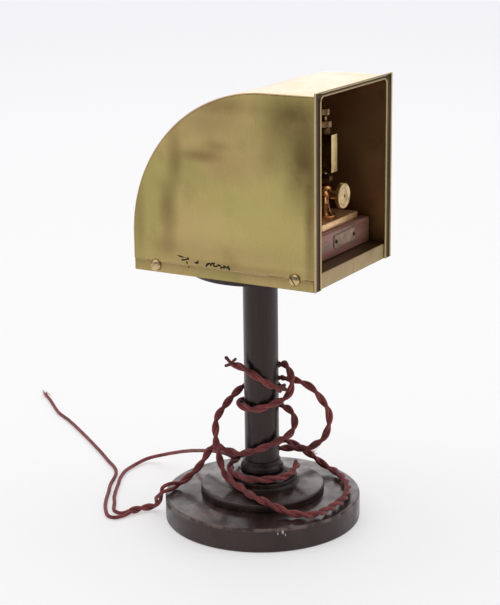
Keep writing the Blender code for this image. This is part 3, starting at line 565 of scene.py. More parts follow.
def add_strand_map(mesh, sides, rings, lengths):
    """The map that the plait follows: round once across, and millimetres along."""
    layer = mesh.uv_layers.new(name="UVMap")
    per_strand = rings * sides + 2
    for polygon in mesh.polygons:
        for loop in polygon.loop_indices:
            index = mesh.loops[loop].vertex_index % per_strand
            if index == 0:
                layer.data[loop].uv = (0.5, 0.0)
            elif index == per_strand - 1:
                layer.data[loop].uv = (0.5, lengths[-1])
            else:
                ring, step = divmod(index - 1, sides)
                layer.data[loop].uv = (step / sides, lengths[ring])


# ---- Flex ----

STRAND_RADIUS = 2.02
STRAND_SIDES = 12
PAIR_PITCH = 34.0
STRAND_STEP = 1.3

# Points along each cord, in millimetres, with its length.
CORD_ROUTES = {
    "flex_wrap": [
        (17.5, 10, 70), (23, 12.5, 70), (31.5, 13, 69.6), (40.5, 8.5, 68), (49.5, -0.5, 64.5),
        (58.5, -9, 58), (66.5, -17.5, 49), (72.5, -26, 40.5), (74.5, -35, 34.3), (71.5, -48, 31.4),
        (61, -62, 31.2), (46.5, -75, 31), (30, -84.5, 31), (12, -90, 30.8), (-5.5, -90.5, 30.8),
        (-22, -89.5, 30.6), (-35, -86.5, 30.6), (-44, -80.5, 30.6), (-48.5, -71.5, 30.8),
        (-51.5, -62, 31.6), (-54, -51.5, 34.6), (-55.5, -41, 38.2), (-54.5, -29.5, 40.4),
        (-50.5, -15.5, 41.2), (-43, -1, 43), (-38.5, 13, 46), (-35.5, 25, 52.8), (-34, 31, 66),
        (-33.5, 34.5, 79), (-31.5, 37, 87.5), (-29, 38.5, 96.6), (-25, 39.5, 106.5),
        (-19.5, 35.5, 116), (-11, 29, 127.5), (-0.5, 24, 134.8), (13.5, 19, 136), (22, 8, 136.3),
        (22.5, -6.5, 136.6), (13.5, -19, 138.2), (-0.5, -23.5, 140.8), (-11.5, -20.5, 146.5),
        (-19, -13.5, 153.5), (-23, -4, 160.2), (-23, 5.5, 164.5), (-22.5, 13.5, 166.5),
        (-21.5, 21, 167)],
    "flex_loop": [
        (20.5, -12, 145.6), (22, -21, 145.2), (24, -31.5, 143.6), (27.5, -44, 137.3),
        (31, -54, 124.7), (34.5, -60, 111.5), (35.5, -59.5, 97.3), (35, -55, 83.5),
        (34.5, -46.5, 75), (34.5, -38, 69), (36, -27.5, 65.5), (36.5, -16, 63.4),
        (35.5, -2.5, 61.5), (30, 11.5, 59.5), (20.5, 24.5, 57.5), (6.5, 31.5, 55.3),
        (-8.5, 31.5, 53.3), (-22.5, 25, 51.8), (-30.5, 12.5, 51.4), (-34.5, -2, 51),
        (-30.5, -15.5, 51), (-22, -26, 51), (-10, -33, 51), (4, -34, 51.3), (16.5, -31, 52),
        (26, -27, 53.2)],
    "flex_band": [
        (22, 9, 151), (23.5, -3, 157), (20, -13, 161.5), (15.5, -21, 161.5), (11.5, -27.5, 156.5),
        (8, -31, 149.5), (6.5, -32, 143.5), (3, -30.5, 136), (-1.5, -26.5, 130.6),
        (-8, -22.5, 129), (-15, -18, 126.8), (-20.5, -11.5, 124.5), (-23, -3.5, 123.1),
        (-22.5, 5.5, 123), (-19, 14, 123.8), (-10, 21, 122.5), (3, 23, 120.5), (16, 17, 119),
        (22.5, 6, 118), (22, -7.5, 117), (16.5, -19, 116), (15, -26, 113), (15.5, -29.5, 107),
        (15, -30.5, 100), (12, -29.5, 93), (4.5, -27, 88.8), (-7, -23, 86.2), (-17.5, -16, 83.2),
        (-24, -5.5, 79), (-25.5, 5.5, 75), (-24.5, 16, 72.3), (-21.5, 29, 72.5), (-20.5, 41.5, 74),
        (-21.5, 49.5, 71), (-24, 55.5, 60), (-26.5, 60, 52), (-28, 65, 45.5), (-31, 71, 39),
        (-35, 76, 33.6), (-41.5, 80.5, 30.9), (-50.5, 84, 31), (-54.5, 88.8, 28.6), (-54.5, 93.3, 21.5),
        (-52, 97.3, 14), (-50, 102, 7.3), (-52, 108.5, 4.5), (-57.5, 113.5, 4.1),
        (-64.5, 117.5, 4.1), (-70, 120.5, 4.1)],
    "strand_far": [
        (-71.5, 119, 3.4), (-76.5, 121, 2.5), (-83, 123.5, 2.2), (-88.5, 128, 2.2),
        (-88.5, 134.5, 2.2), (-84.5, 140.5, 2.2), (-70, 152.5, 2.2), (-53.5, 163, 2.2),
        (-34, 173.5, 2.2), (-15, 184, 2.2), (3, 191.5, 2.2), (17.5, 199, 2.2), (30, 210, 2.2),
        (43, 227, 2.2), (64.5, 254, 2.2), (99, 300, 2.2), (132, 346.5, 2.2), (148.5, 374, 2.2),
        (162.5, 391, 2.2), (184.5, 415.5, 2.2), (198, 432.5, 2.2)],
    "strand_near": [
        (-69.5, 123, 3.4), (-73, 125, 2.6), (-76, 129, 2.2), (-75.5, 134.5, 2.2),
        (-72.5, 139.5, 2.2), (-66.5, 144, 2.2), (-55, 151, 2.2), (-42.5, 160, 2.2),
        (-25.5, 169.5, 2.2), (-8.5, 178, 2.2), (8.5, 186.5, 2.3), (28, 192.5, 2.4),
        (48.5, 192.5, 3), (65, 187.5, 5), (66.5, 166.5, 13), (52, 127.5, 29), (22.5, 85.5, 47),
        (2, 58, 58), (-4, 46, 60.6), (-7.5, 37.5, 61.5), (-10.5, 29.5, 60.5)],
}


def smooth_route(points, spacing):
    """A Catmull-Rom curve through the points, read off at even spacing, in the points' unit."""
    ends = [2 * points[0] - points[1]] + points + [2 * points[-1] - points[-2]]
    fine = []
    for a, b, c, d in zip(ends, ends[1:], ends[2:], ends[3:]):
        for step in range(16):
            t = step / 16
            fine.append(0.5 * (2 * b + (c - a) * t + (2 * a - 5 * b + 4 * c - d) * t ** 2
                               + (3 * b - a - 3 * c + d) * t ** 3))
    fine.append(points[-1])
    travelled = [0.0]
    for a, b in zip(fine, fine[1:]):
        travelled.append(travelled[-1] + (b - a).length)
    count = ceil(travelled[-1] / spacing)
    route = []
    spot = 0
    for step in range(count + 1):
        wanted = travelled[-1] * step / count
        while spot < len(fine) - 2 and travelled[spot + 1] < wanted:
            spot += 1
        share = (wanted - travelled[spot]) / (travelled[spot + 1] - travelled[spot])
        route.append(fine[spot].lerp(fine[spot + 1], share))
    return route


def window(value, middle, half):
    """A smooth hump, 1 in the middle and 0 from half a width away."""
    away = abs(value - middle) / half
    return (0.5 + 0.5 * cos(pi * away)) if away < 1 else 0.0


def pair_lines(route, last_side, loosened):
    """Centrelines of the two strands of a twisted pair along a route, in millimetres. last_side
    is where the first strand lies at the end, and loosened is (how far along, half length, gap)."""
    ahead = [(route[min(i + 1, len(route) - 1)] - route[max(i - 1, 0)]).normalized()
             for i in range(len(route))]
    normal = ahead[0].orthogonal().normalized()
    frames = []
    turn = 0.0
    turns = []
    travelled = 0.0
    gaps = []
    for index, along in enumerate(ahead):
        normal = (normal - along * normal.dot(along)).normalized()
        frames.append((normal.copy(), along.cross(normal)))
        step = (route[index] - route[index - 1]).length if index else 0.0
        travelled += step
        slack = window(travelled, loosened[0], loosened[1]) if loosened else 0.0
        wander = 1 + 0.12 * sin(travelled / 41.0)
        turn += 2 * pi * step / (PAIR_PITCH * wander) * (1 - 0.55 * slack)
        turns.append(turn)
        gaps.append(slack * loosened[2] if loosened else 0.0)
    across, side = frames[-1]
    wanted = atan2(last_side.dot(side), last_side.dot(across)) if last_side else 0.6
    lines = ([], [])
    for point, (across, side), angle, gap in zip(route, frames, turns, gaps):
        angle += wanted - turns[-1]
        offset = (across * cos(angle) + side * sin(angle)) * (STRAND_RADIUS * 0.94 + gap)
        lines[0].append(point + offset)
        lines[1].append(point - offset)
    return lines


def strand_mesh(name, lines, radius, made):
    vertices = []
    faces = []
    for number, line in enumerate(lines):
        wavy = []
        for index, point in enumerate(line):
            shake = noise.noise_vector(point * 0.11 + Vector((number * 9.0, 0, 0))) * 0.16
            wavy.append((point + (shake if 2 < index < len(line) - 3 else Vector())) * MM)
        made_vertices, made_faces = tube(wavy, radius * MM, STRAND_SIDES)
        shift = len(vertices)
        vertices += made_vertices
        faces += [tuple(index + shift for index in face) for face in made_faces]
    piece = new_piece(name, vertices, faces, made)
    lengths = [0.0]
    for a, b in zip(lines[0], lines[0][1:]):
        lengths.append(lengths[-1] + (b - a).length)
    add_strand_map(piece.data, STRAND_SIDES, len(lines[0]), lengths)
    return piece


def splayed_tip(name, start, bends, radius, made, bead=None):
    """A short bent end: points in millimetres from its start, and a bead where it was cut."""
    points = smooth_route([Vector(start)] + [Vector(start) + Vector(bend) for bend in bends], 0.7)
    vertices, faces = tube([point * MM for point in points], radius * MM, 10)
    piece = new_piece(name, vertices, faces, made)
    place(piece, "cotton_flex")
    if not bead:
        return [piece]
    ahead = (points[-1] - points[-3]).normalized()
    ball = [(0, -1.2)] + [(bead * cos(a), bead * 1.15 * sin(a)) for a in (-0.9, -0.4, 0.1, 0.6, 1.1)] \
        + [(0, bead * 1.15)]
    cut = turned(name + "_cut", ball, MATERIALS["rubber"], 16, points[-1] + ahead * bead * 0.4, ahead)
    place(cut, "cotton_flex")
    return [piece, cut]


def fuzz(name, centre, spread, count, length, seed, made, towards=None):
    """Loose cotton fibres standing off the braid round a point."""
    draw = np.random.default_rng(seed)
    vertices = []
    faces = []
    for _ in range(count):
        aside = [float(part) * most for part, most in zip(draw.uniform(-1, 1, 3), spread)]
        root = Vector(centre) + Vector(aside)
        out = Vector([float(part) for part in draw.normal(0, 1, 3)])
        if towards is not None:
            out = out * 0.45 + Vector(towards)
        out.normalize()
        curl = Vector([float(part) for part in draw.normal(0, 0.35, 3)])
        reach = length * float(draw.uniform(0.5, 1.0))
        line = [root + out * reach * t + curl * reach * t * t for t in (0, 0.3, 0.6, 1.0)]
        line = [Vector((point.x, point.y, max(point.z, 0.3))) * MM for point in line]
        made_vertices, made_faces = tube(line, 0.13 * MM, 4)
        shift = len(vertices)
        vertices += made_vertices
        faces += [tuple(index + shift for index in face) for face in made_faces]
    return place(new_piece(name, vertices, faces, made), "cotton_flex")


def cord_extras():
    """Cut ends and loose fibres, each listed under the cord that it is on."""
    cotton_made = MATERIALS["cotton"]
    lint = MATERIALS["lint"]
    wrap_end = CORD_ROUTES["flex_wrap"][-1]
    loop_start = CORD_ROUTES["flex_loop"][0]
    far_end = CORD_ROUTES["strand_far"][-1]
    extras = {name: [] for name in CORD_ROUTES}
    extras["flex_wrap"] += splayed_tip("wrap_tip_upper", wrap_end, [(-0.4, 3.4, 2.6), (-0.2, 6.6, 5.2)],
                                       1.75, cotton_made, 2.0)
    extras["flex_wrap"] += splayed_tip("wrap_tip_lower", wrap_end, [(-0.6, 3.6, -0.6), (-0.2, 7.2, -2.2)],
                                       1.7, cotton_made, 1.7)
    extras["flex_wrap"] += splayed_tip("wrap_tip_back", wrap_end, [(0.6, 0.2, 2.6), (0.0, -2.6, 5.4)],
                                       1.5, cotton_made, 1.6)
    extras["flex_loop"] += splayed_tip("loop_tip_upper", loop_start, [(-1.6, 2.6, 0.9), (-2.6, 5.0, 1.7)],
                                       1.6, cotton_made, 1.7)
    extras["flex_loop"] += splayed_tip("loop_tip_lower", loop_start, [(-1.0, 2.4, -1.4), (-1.6, 4.6, -3.0)],
                                       1.6, cotton_made, 1.7)
    extras["strand_far"] += splayed_tip("far_lint", far_end, [(1.6, 2.0, 0.3), (2.8, 4.6, 0.8)], 1.45, lint)
    extras["strand_far"] += splayed_tip("far_wire", far_end, [(3.0, 4.5, 1.0), (5.0, 8.6, 4.0)], 0.6,
                                        MATERIALS["wire"])
    extras["strand_far"].append(fuzz("far_fuzz", Vector(far_end) + Vector((0.5, 0.5, 1.2)),
                                     (3.0, 3.0, 1.0), 70,
                                     4.0, 11, lint))
    extras["flex_wrap"].append(fuzz("wrap_fuzz", (69.5, -21.5, 46.5), (3.0, 3.5, 3.0), 46, 6.5, 5, lint,
                                    (0.35, -0.35, 0.75)))
    return extras


def make_cords():
    cotton_made = MATERIALS["cotton"]
    extras = cord_extras()
    routes = {name: [Vector(point) for point in points] for name, points in CORD_ROUTES.items()}
    parting = routes["strand_far"][0] - routes["strand_near"][0]
    ends = {}
    for name, points in routes.items():
        if name.startswith("flex"):
            route = smooth_route(points, STRAND_STEP)
            last_side = parting if name == "flex_band" else None
            loosened = (413.0, 30.0, 1.3) if name == "flex_band" else None
            lines = pair_lines(route, last_side, loosened)
            ends[name] = (lines[0][-1], lines[1][-1])
            piece = strand_mesh(name + "_cotton", lines, STRAND_RADIUS, cotton_made)
        else:
            start = ends["flex_band"][0 if name == "strand_far" else 1]
            route = smooth_route([start] + points[1:], STRAND_STEP)
            piece = strand_mesh(name + "_cotton", [route], STRAND_RADIUS, cotton_made)
        place(piece, "cotton_flex", name)


# ---- Stand ----

def make_stand():
    turned("base_disc_finished", fillet([
        (0, 0), (100.6, 0, 1.2), (101.6, 1.4, 0.8), (101.6, 25.2, 2.8), (98.0, 25.5, 3.0),
        (66.6, 27.0, 2.5),
        (64.6, 27.2), (0, 27.2)], 6), MATERIALS["base"], 192)
    place(bpy.data.objects["base_disc_finished"], "ebonised_wood", "base_disc")
    turned("base_steps_finished", fillet([
        (0, 27.5), (64.5, 27.5, 0.3), (64.5, 35.2, 2.4), (58.0, 36.0, 3.0), (39.0, 38.8, 3.5),
        (36.0, 40.4, 1.6),
        (36.0, 45.6, 1.7), (29.0, 47.4, 3.0), (24.5, 50.0), (0, 50.0)], 6), MATERIALS["base"], 160)
    place(bpy.data.objects["base_steps_finished"], "ebonised_wood", "base_steps")
    turned("collar_finished", fillet([
        (18.1, 50.3), (22.4, 50.3, 0.4), (23.0, 52.9, 1.3), (22.0, 56.0, 1.0), (20.6, 57.8, 0.8),
        (19.4, 60.6, 1.0), (19.0, 62.5, 0.5), (18.1, 62.5)], 5), MATERIALS["column"], 96)
    place(bpy.data.objects["collar_finished"], "black_column", "column_collar")
    turned("column_finished", [(17.8, 50.3 + step * 21.38) for step in range(11)]
           + [(15.3, 264.1), (15.3, 50.3)], MATERIALS["column"], 96)
    place(bpy.data.objects["column_finished"], "black_column", "column")
    turned("hood_plate_finished", fillet([
        (0, 264.4), (70.0, 264.4, 1.6), (70.0, 272.1, 1.2), (0, 272.1)], 5), MATERIALS["plate"], 128)
    place(bpy.data.objects["hood_plate_finished"], "japanned_iron", "hood_plate")


# ---- Hood ----

HOOD_HALF = 81.3
HOOD_FRONT = -104.7
HOOD_BACK = 96.8
HOOD_TOP = 456.5
BEND_RADIUS = 148.0
BEND_Y = HOOD_BACK - BEND_RADIUS
BEND_Z = HOOD_TOP - BEND_RADIUS
SHEET = 1.2
SEAM_Z = 283.4  # top of the band at the sides and the back
SKIRT_Z = 283.7  # the cheeks and the skin end here, over the band
LIP_Z = 287.8  # top of the band in front

# Dents in the near cheek: (y, z, radius, depth in), millimetres.
CHEEK_DENTS = ((-79, 375, 7, 0.45), (-60, 404, 34, 0.9), (-12, 352, 45, -0.7), (27, 398, 22, 0.7),
               (57, 366, 20, 0.8), (-48, 438, 26, 0.5), (30, 330, 30, -0.4), (-94, 320, 16, 0.35))


def cheek_dent(y, z):
    depth = 0.0
    for middle_y, middle_z, radius, deep in CHEEK_DENTS:
        away = ((y - middle_y) ** 2 + (z - middle_z) ** 2) / radius ** 2
        depth += deep * np.exp(-away * 1.6)
    return depth + 0.22 * noise.noise(Vector((y, z, 4.0)) * 0.035) * 2


def make_cheek(side, sign):
    """A flat sheet with a rounded back corner, gently dented, as one closed skin."""
    inset = SHEET + 0.3
    radius = BEND_RADIUS - inset
    rows = [(SKIRT_Z + (BEND_Z - SKIRT_Z) * step / 6, HOOD_BACK - inset) for step in range(6)]
    for step in range(61):
        angle = pi / 2 * step / 60
        rows.append((BEND_Z + radius * sin(angle), BEND_Y + radius * cos(angle)))
    columns = 72
    outer = []
    for z, back in rows:
        for step in range(columns + 1):
            y = HOOD_FRONT + (back - HOOD_FRONT) * step / columns
            edge = min(y - HOOD_FRONT, back - y, z - SKIRT_Z, HOOD_TOP - inset - z)
            hold = min(1.0, max(0.0, edge / 12.0))
            dent = cheek_dent(y * (1 if sign < 0 else -0.8) + (0 if sign < 0 else 4), z) * hold * hold
            outer.append(Vector((sign * (HOOD_HALF - dent), y, z)) * MM)
    count = len(outer)
    inner = [vertex - Vector((sign * SHEET * MM, 0, 0)) for vertex in outer]
    width = columns + 1
    faces = []
    slots = []
    for row in range(len(rows) - 1):
        for step in range(columns):
            a = row * width + step
            faces.append((a, a + 1, a + 1 + width, a + width))
            faces.append(tuple(index + count for index in (a + width, a + 1 + width, a + 1, a)))
            slots += [0, 1]
    rim = [step for step in range(width)]
    rim += [row * width + columns for row in range(1, len(rows))]
    rim += [(len(rows) - 1) * width + step for step in range(columns - 1, -1, -1)]
    rim += [row * width for row in range(len(rows) - 2, 0, -1)]
    for a, b in zip(rim, rim[1:] + rim[:1]):
        faces.append((a, b, b + count, a + count))
        slots.append(0)
    piece = new_piece(f"cheek_{side}", outer + inner, faces,
                      MATERIALS["cheek"], MATERIALS["inside"], slots=slots)
    add_edge_round(piece, 0.3)
    place(piece, "hood_brass", f"hood_cheek_{side}")


def add_edge_round(piece, width, steps=2):
    bevel = piece.modifiers.new("edges", "BEVEL")
    bevel.width = width * MM
    bevel.segments = steps
    bevel.limit_method = "ANGLE"
    bevel.angle_limit = radians(50)
    bevel.harden_normals = True


def make_skin():
    """The wrapper: top, bend and back in one sheet, a little uneven where it was bent."""
    line = [(HOOD_FRONT + (BEND_Y - HOOD_FRONT) * step / 12, HOOD_TOP, 0.0, 1.0) for step in range(12)]
    for step in range(65):
        angle = pi / 2 * (1 - step / 64)
        line.append((BEND_Y + BEND_RADIUS * cos(angle), BEND_Z + BEND_RADIUS * sin(angle),
                     cos(angle), sin(angle)))
    line += [(HOOD_BACK, BEND_Z + (SKIRT_Z - BEND_Z) * step / 4, 1.0, 0.0) for step in range(1, 5)]
    columns = 36
    outer = []
    inner = []
    for y, z, out_y, out_z in line:
        for step in range(columns + 1):
            x = -HOOD_HALF + 2 * HOOD_HALF * step / columns
            hold = min(1.0, (HOOD_HALF - abs(x)) / 14, max(0.0, (y - HOOD_FRONT) / 14),
                       max(0.0, (z - SKIRT_Z) / 14))
            dent = hold * hold * 0.9 * noise.noise(Vector((x, y, z)) * 0.022)
            outer.append(Vector((x, y - out_y * dent, z - out_z * dent)) * MM)
            inner.append(Vector((x, y - out_y * (dent + SHEET), z - out_z * (dent + SHEET))) * MM)
    count = len(outer)
    width = columns + 1
    faces = []
    slots = []
    for row in range(len(line) - 1):
        for step in range(columns):
            a = row * width + step
            faces.append((a, a + 1, a + 1 + width, a + width))
            faces.append(tuple(index + count for index in (a + width, a + 1 + width, a + 1, a)))
            slots += [0, 1]
    rim = [step for step in range(width)]
    rim += [row * width + columns for row in range(1, len(line))]
    rim += [(len(line) - 1) * width + step for step in range(columns - 1, -1, -1)]
    rim += [row * width for row in range(len(line) - 2, 0, -1)]
    for a, b in zip(rim, rim[1:] + rim[:1]):
        faces.append((a, b, b + count, a + count))
        slots.append(0)
    piece = new_piece("hood_skin", outer + inner, faces,
                      MATERIALS["skin"], MATERIALS["inside"], slots=slots)
    add_edge_round(piece, 0.35)
    place(piece, "hood_brass", "hood_wrapper")


def swept_faces(stations, ring):
    """Quads between the stations of a swept section, then its two end caps."""
    faces = []
    for station in range(stations - 1):
        for step in range(ring):
            follow = (step + 1) % ring
            a = station * ring
            faces.append((a + step, a + follow, a + ring + follow, a + ring + step))
    faces.append(tuple(range(ring)))
    faces.append(tuple((stations - 1) * ring + step for step in range(ring - 1, -1, -1)))
    return faces


def make_front_frame():
    """The folded front: a flat strip between a rolled outer edge and a rolled inner edge."""
    face = -105.0
    edge = 81.6
    opening = 69.3
    bottom = 272.4
    top = 459.2
    inner_top = 454.0
    corner = 5.0
    pairs = []
    for step in range(13):
        z = bottom + (inner_top - corner - bottom) * step / 12
        pairs.append(((-edge, z), (-opening, z)))
    for step in range(1, 9):
        angle = pi - pi / 2 * step / 8
        inner = (corner - opening + corner * cos(angle), inner_top - corner + corner * sin(angle))
        if step <= 4:
            outer = (-edge, inner_top - corner + (top - inner_top + corner) * step / 4)
        else:
            outer = (-edge + (edge - opening + corner) * (step - 4) / 4, top)
        pairs.append((outer, inner))
    for step in range(1, 9):
        x = (corner - opening) * (1 - step / 8)
        pairs.append(((x, top), (x, inner_top)))
    pairs += [((-outer[0], outer[1]), (-inner[0], inner[1])) for outer, inner in reversed(pairs[:-1])]
    rim = [(0.0, 0.0), (0.0, 1.1), (0.25, 1.55), (0.7, 1.8), (1.2, 1.7), (1.6, 1.3), (1.9, 1.0)]
    hem = [(1.7, 1.0), (1.4, 1.35), (0.95, 1.62), (0.45, 1.55), (0.12, 1.2), (0.0, 0.8), (0.0, 0.0)]
    vertices = []
    for outer, inner in pairs:
        outer = Vector(outer)
        inner = Vector(inner)
        across = inner - outer
        across.normalize()
        section = [(outer + across * reach, height) for reach, height in rim]
        section += [(inner - across * reach, height) for reach, height in hem]
        for spot, height in section:
            vertices.append(Vector((spot.x, face - height, spot.y)) * MM)
    ring = len(rim) + len(hem)
    faces = swept_faces(len(pairs), ring)
    slots = [0 if step == len(rim) - 1 else 1 for step in range(ring)] * (len(pairs) - 1) + [1, 1]
    piece = new_piece("front_flange", vertices, faces,
                      MATERIALS["flange"], MATERIALS["rim"], slots=slots, angle=50)
    place(piece, "dark_brass", "front_frame")


def make_band():
    """The band round the bottom, its front lip higher than its sides, with its ends butted in front."""
    half = HOOD_HALF
    corner = 1.6
    seam = 0.22
    lip_half = 79.6
    path = [(seam, HOOD_FRONT, 0, -1, LIP_Z), (lip_half - 0.02, HOOD_FRONT, 0, -1, LIP_Z),
            (lip_half, HOOD_FRONT, 0, -1, SEAM_Z)]
    side = half - corner
    corners = (((side, HOOD_FRONT + corner), -90), ((side, HOOD_BACK - corner), 0),
               ((-side, HOOD_BACK - corner), 90), ((-side, HOOD_FRONT + corner), 180))
    for middle, start in corners:
        for step in range(7):
            angle = radians(start + 15 * step)
            path.append((middle[0] + corner * cos(angle), middle[1] + corner * sin(angle),
                         cos(angle), sin(angle), SEAM_Z))
    path += [(-lip_half, HOOD_FRONT, 0, -1, SEAM_Z), (0.02 - lip_half, HOOD_FRONT, 0, -1, LIP_Z),
             (-seam, HOOD_FRONT, 0, -1, LIP_Z)]
    low = 272.4
    vertices = []
    for x, y, out_x, out_y, high in path:
        section = [(0.25, low), (0.0, low + 0.3), (0.0, high - 0.5), (0.10, high - 0.2), (0.35, high),
                   (SHEET - 0.35, high), (SHEET - 0.1, high - 0.2), (SHEET, high - 0.5), (SHEET, low + 0.2),
                   (SHEET - 0.2, low)]
        for depth, z in section:
            vertices.append(Vector((x - out_x * depth, y - out_y * depth, z)) * MM)
    ring = 10
    faces = swept_faces(len(path), ring)
    slots = []
    for station in range(len(path) - 1):
        front = path[station][1] < HOOD_FRONT + 0.5 and path[station + 1][1] < HOOD_FRONT + 0.5
        slots += [1 if front else 0] * ring
    slots += [1, 1]
    piece = new_piece("bottom_band", vertices, faces,
                      MATERIALS["band"], MATERIALS["lip"], slots=slots, angle=30)
    place(piece, "hood_brass", "floor_band")


# Dark crusts along the near side's seam: (y, z, half length, half height, lean in degrees), millimetres.
SOLDER_MARKS = (
    (42.0, 291.2, 4.6, 0.8, 6), (38.5, 288.4, 4.4, 0.9, -12), (35.2, 285.6, 0.9, 1.6, 0),
    (34.0, 289.8, 1.5, 1.2, 30),
    (33.2, 281.6, 0.7, 1.3, 0), (24.0, 286.8, 2.6, 1.0, 5), (22.4, 288.2, 1.0, 1.0, 0),
    (12.8, 286.0, 1.2, 2.2, 20),
    (10.4, 287.6, 2.0, 1.1, -30), (8.0, 286.6, 1.1, 2.1, 15), (5.4, 288.4, 2.4, 0.9, -8),
    (4.2, 286.0, 1.6, 1.2, 40),
    (1.2, 286.4, 2.6, 1.0, -35), (-1.8, 287.2, 1.9, 1.1, 30), (-4.0, 285.2, 2.0, 1.0, -35),
    (-6.6, 286.2, 1.1, 1.9, 10),
    (-9.0, 286.2, 2.0, 1.0, 35), (-11.4, 286.8, 1.4, 1.2, -40), (-12.6, 285.0, 1.3, 1.5, 0))


def make_solder_marks():
    draw = np.random.default_rng(21)
    sides = 12
    vertices = []
    faces = []
    for y, z, half_length, half_height, lean in SOLDER_MARKS:
        start = len(vertices)
        tilt = radians(lean)
        vertices.append(Vector((-HOOD_HALF - 0.40, y, z)) * MM)
        for ring, height in ((0.6, 0.35), (1.25, -0.05)):
            for step in range(sides):
                turn = 2 * pi * step / sides
                reach = ring * float(draw.uniform(0.55, 1.15))
                along = half_length * reach * cos(turn)
                above = half_height * reach * sin(turn)
                vertices.append(Vector((-HOOD_HALF - height, y + along * cos(tilt) - above * sin(tilt),
                                        z + along * sin(tilt) + above * cos(tilt))) * MM)
        for step in range(sides):
            follow = (step + 1) % sides
            faces.append((start, start + 1 + step, start + 1 + follow))
            faces.append((start + 1 + step, start + 1 + sides + step, start + 1 + sides + follow,
                          start + 1 + follow))
        faces.append(tuple(start + 1 + sides + step for step in range(sides - 1, -1, -1)))
    place(new_piece("solder_marks", vertices, faces, MATERIALS["solder"]), "dark_brass")
    for side, sign in SIDES:
        line = [Vector((sign * (HOOD_HALF - 0.1), y, SEAM_Z - 0.15 + 0.12 * sin(y * 0.21))) * MM
                for y in np.linspace(-102.0, 94.0, 99)]
        place(new_piece(f"seam_line_{side}", *tube(line, 0.42 * MM, 8), MATERIALS["bead"]), "hood_brass")


def slotted_screw(name, node, towards, radius, made, slot_name, turn=20.0):
    """A round head over a carried screw node, with a slot across it turned by some degrees."""
    low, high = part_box(node)
    middle = (low + high) / 2 / MM
    out = Vector(towards)
    depth = abs((high - low).dot(out)) / MM
    seat = middle - out * depth / 2
    dome = [(radius * sin(a), depth * (1 - (1 - cos(a)) * 1.02)) for a in np.linspace(1.42, 0.0, 10)]
    profile = [(0, 0), (radius * 0.97, 0), (radius, 0.25)] + dome[:-1] + [(0, depth)]
    piece = turned(name, profile, made, 40, seat, towards, angle=50)
    bpy.ops.mesh.primitive_cube_add(size=1.0)
    cutter = bpy.context.active_object
    cutter.name = name + "_slot"
    cutter.data.name = name + "_slot"
    aim = Vector((0, 0, 1)).rotation_difference(out).to_matrix().to_4x4()
    spin = aim @ Matrix.Rotation(radians(turn), 4, "Z")
    size = Matrix.Diagonal((radius * 2.6 * MM, max(0.7, radius * 0.2) * MM, 4.0 * MM, 1.0))
    spot = seat + out * (depth * 0.62 + 2.0)
    cutter.data.transform(Matrix.Translation(spot * MM) @ spin @ size)
    cut = piece.modifiers.new("slot", "BOOLEAN")
    cut.operation = "DIFFERENCE"
    cut.solver = "EXACT"
    cut.object = cutter
    bpy.context.view_layer.update()
    graph = bpy.context.evaluated_depsgraph_get()
    result = bpy.data.meshes.new_from_object(piece.evaluated_get(graph))
    piece.modifiers.clear()
    piece.data = result
    bpy.data.objects.remove(cutter)
    return place(piece, slot_name, node)


def make_hood():
    make_skin()
    for side, sign in SIDES:
        make_cheek(side, sign)
    make_front_frame()
    make_band()
    make_solder_marks()
    screw = MATERIALS["screw"]
    turns = {"left_front": 32.0, "left_rear": 118.0, "right_front": 35.0, "right_rear": -20.0}
    for spot, turn in turns.items():
        sign = -1 if spot.startswith("left") else 1
        slotted_screw(f"round_head_{spot}", f"hood_screw_{spot}", (sign, 0, 0), 6.0, screw,
                      "bright_brass", turn)
    for number in (1, 2, 3):
        slotted_screw(f"plate_head_{number}", f"plate_screw_{number}", (0, 0, -1), 4.0, MATERIALS["brown"],
                      "dark_brass", 30.0 * number)


# ---- Sounder ----

SOUNDER_X = 21.0
PILLAR_Y = -63.0
TENSION_Z = 344.0
BALL_Z = 347.4


def make_pillar():
    foot = 321.6
    profile = fillet([(0, foot), (10.5, foot, 0.3), (10.5, foot + 1.9, 0.7), (9.2, foot + 2.6, 0.5),
                      (6.9, foot + 5.2, 3.0), (4.9, foot + 9.5, 4.0), (3.9, foot + 13.5, 2.0),
                      (3.7, foot + 17.0)], 6)
    ball = [(7.0 * cos(a), BALL_Z + 7.0 * sin(a)) for a in np.linspace(-1.0, pi / 2, 24)]
    profile += ball[:-1] + [(0, BALL_Z + 7.0)]
    piece = turned("ball_pillar", profile, MATERIALS["copper"], 64, (SOUNDER_X, PILLAR_Y, 0), angle=45)
    place(piece, "copper_brass", "tension_pillar")


def make_tension_nut():
    """A milled head with a ringed face, on a neck that bears on the ball."""
    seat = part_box("tension_nut")[1].y / MM
    profile = fillet([(1.9, 0), (4.3, 0, 0.3), (4.3, 9.2), (11.8, 9.4, 0.5), (12.6, 10.2, 0.3),
                      (12.6, 13.6, 0.3),
                      (11.9, 14.4, 0.4), (10.6, 14.4, 0.3), (10.1, 13.9, 0.2), (8.9, 13.8, 0.3),
                      (8.5, 13.5, 0.2),
                      (7.6, 13.5, 0.2), (7.2, 13.8, 0.3), (4.6, 13.8, 0.3), (4.2, 14.3, 0.3),
                      (1.9, 14.3)], 4)
    piece = turned("milled_nut", profile, MATERIALS["pale"], 288, (SOUNDER_X, seat, TENSION_Z), (0, -1, 0),
                   ripple=knurl(72, 0.38, 12.3), angle=35)
    place(piece, "bright_brass", "tension_nut", body="tension_nut")


